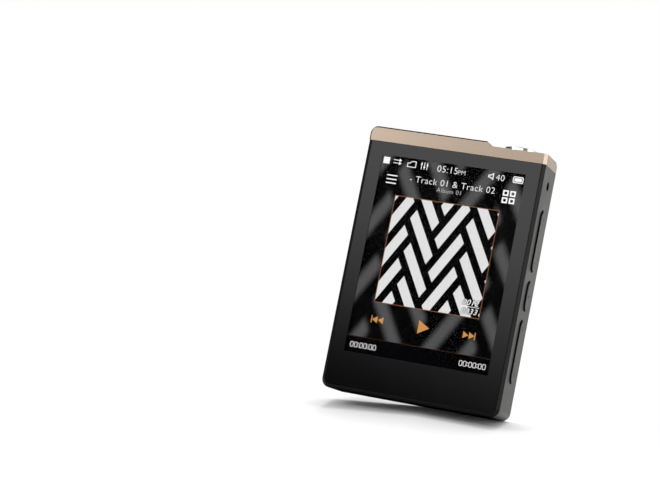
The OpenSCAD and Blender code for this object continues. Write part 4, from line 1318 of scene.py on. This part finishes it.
def make_world():
    """White studio for the camera, and a soft gradient for what the glossy parts reflect"""
    stage = bpy.context.scene.player_stage
    world = bpy.data.worlds.new("Studio")
    bpy.context.scene.world = world
    world.use_nodes = True
    tree = world.node_tree
    tree.nodes.clear()
    sky = tree.nodes.new("ShaderNodeTexCoord").outputs["Generated"]
    direction = add_node(tree, "SeparateXYZ", {0: sky})
    x, y, z = direction.outputs
    lean = maths(tree, "MULTIPLY_ADD", maths(tree, "MINIMUM", x, 0.0), 0.17, z)
    studio = smooth_step(tree, lean, -0.014, 0.111, 0.05, 1.55)
    for value, start, end, low, high in (
        (y, -0.2, 0.6, 1.0, 0.69),       # dimmer behind
        (z, 0.18, 0.35, 1.0, 0.50),      # dimmer high up
        (z, 0.80, 0.93, 1.0, 0.15),      # dark straight above
        (x, -0.95, -0.75, 0.35, 1.0),    # dark at the left
    ):
        studio = maths(tree, "MULTIPLY", studio, smooth_step(tree, value, start, end, low, high))
    strip = maths(tree, "MULTIPLY", smooth_step(tree, x, 0.36, 0.44), smooth_step(tree, x, 0.84, 0.78))
    strip = maths(tree, "MULTIPLY", strip, smooth_step(tree, y, 0.0, -0.2))
    studio = maths(tree, "MULTIPLY", studio, maths(tree, "MULTIPLY_ADD", strip, -0.85, 1.0))
    card = maths(tree, "MULTIPLY", smooth_step(tree, x, 0.84, 0.93), smooth_step(tree, y, 0.1, -0.1))
    studio = maths(tree, "MULTIPLY_ADD", maths(tree, "MULTIPLY", card, studio), 1.8, studio)
    path = tree.nodes.new("ShaderNodeLightPath")
    diffuse = path.outputs["Is Diffuse Ray"]
    seen = path.outputs["Is Camera Ray"]
    level = maths(tree, "ADD", maths(tree, "MULTIPLY", diffuse, stage.ambient),
                  maths(tree, "MULTIPLY", maths(tree, "SUBTRACT", 1.0, diffuse), studio))
    level = maths(tree, "ADD", maths(tree, "MULTIPLY", seen, 1.0),
                  maths(tree, "MULTIPLY", maths(tree, "SUBTRACT", 1.0, seen), level))
    light = add_node(tree, "Background", {"Color": (1, 1, 1, 1), "Strength": level})
    output = add_node(tree, "OutputWorld")
    tree.links.new(light.outputs[0], output.inputs[0])


def add_lamp(name, place, aim, width, height, power):
    bpy.ops.object.light_add(type="AREA", location=place)
    lamp = bpy.context.view_layer.objects.active
    lamp.name = name
    lamp.data.shape = "RECTANGLE"
    lamp.data.size = width
    lamp.data.size_y = height
    lamp.data.energy = power
    lamp.rotation_euler = (Vector(aim) - Vector(place)).to_track_quat("-Z", "Y").to_euler()
    return lamp


class PLAYER_OT_stage(bpy.types.Operator):
    """Set up the camera, the pale floor, the white studio and the lamps"""
    bl_idname = "player.stage"
    bl_label = "Stage"

    def execute(self, context):
        scene = context.scene
        settings = scene.player_stage
        scene.view_settings.view_transform = "Standard"
        place, right, up, forward = camera_axes()
        bpy.ops.object.camera_add()
        camera = context.view_layer.objects.active
        camera.name = "studio_camera"
        turn = Matrix((right, up, -forward)).transposed().to_4x4()
        camera.matrix_world = Matrix.Translation(place) @ turn
        camera.data.sensor_width = 36
        camera.data.lens = settings.lens
        camera.data.clip_start = 0.01
        camera.data.clip_end = 20
        scene.camera = camera

        white = one_sided_material("pale_floor")
        fading = one_sided_material("fading_floor", fades=True)
        bpy.ops.mesh.primitive_plane_add(size=6, location=(0, 0, 0))
        level = active_piece("floor_level")
        level.data.materials.append(white)
        # two sloping pieces in front of the player, which catch its shadow when seen from below
        hinge = Vector((settings.hinge_side, CAD_BOX[1].y, 0.0003))
        aprons = []
        for name, side, roll, behind in (
            ("floor_apron_left", -1, -0.45 * settings.roll, settings.behind),
            ("floor_apron_right", 1, 0.0, 0.0),
        ):
            bpy.ops.mesh.primitive_plane_add(size=2, location=(side, behind - 1, 0))
            apron = active_piece(name)
            bpy.ops.object.transform_apply(location=True, rotation=False, scale=False)
            apron.data.materials.append(fading)
            apron.matrix_world = (Matrix.Translation(hinge) @ Matrix.Rotation(roll, 4, "Y")
                                  @ Matrix.Rotation(settings.slope, 4, "X"))
            aprons.append(apron)
        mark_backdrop(level, *aprons)
        make_world()
        add_lamp("key_lamp", (0.0, 0.08, 0.7), (0, 0, 0.02), 0.40, 0.40, settings.key_power)
        add_lamp("front_lamp", (-0.25, -0.3, 0.16), (0, 0, 0.06), 0.12, 0.12, settings.front_power)
        deselect()
        return {"FINISHED"}


# ---------------------------------------------------------------- panel and registration

OPERATORS = (
    PLAYER_OT_stage,
    PLAYER_OT_finishes,
    PLAYER_OT_shells,
    PLAYER_OT_keys,
    PLAYER_OT_power_button,
    PLAYER_OT_headphone_ring,
    PLAYER_OT_usb_contacts,
    PLAYER_OT_indicator_lens,
    PLAYER_OT_backdrop,
    PLAYER_OT_cover_picture,
    PLAYER_OT_status_bar,
    PLAYER_OT_titles,
    PLAYER_OT_transport,
)


class PLAYER_PT_looks(bpy.types.Panel):
    """Lists the steps that dress the player"""
    bl_idname = "PLAYER_PT_looks"
    bl_label = "Audio player"
    bl_space_type = "VIEW_3D"
    bl_region_type = "UI"
    bl_category = "Player"

    def draw(self, context):
        for step in OPERATORS:
            self.layout.operator(step.bl_idname)
        for name, group in SETTINGS.items():
            column = self.layout.column()
            for label in group.__annotations__:
                column.prop(getattr(context.scene, name), label)


def register():
    for group in SETTINGS.values():
        bpy.utils.register_class(group)
    for name, group in SETTINGS.items():
        setattr(bpy.types.Scene, name, PointerProperty(type=group))
    for step in OPERATORS:
        bpy.utils.register_class(step)
    bpy.utils.register_class(PLAYER_PT_looks)


def unregister():
    bpy.utils.unregister_class(PLAYER_PT_looks)
    for step in reversed(OPERATORS):
        bpy.utils.unregister_class(step)
    for name in SETTINGS:
        delattr(bpy.types.Scene, name)
    for group in reversed(SETTINGS.values()):
        bpy.utils.unregister_class(group)


def main():
    register()
    for step in OPERATORS:
        group, name = step.bl_idname.split(".")
        getattr(getattr(bpy.ops, group), name)()


if __name__ == "__main__":
    main()
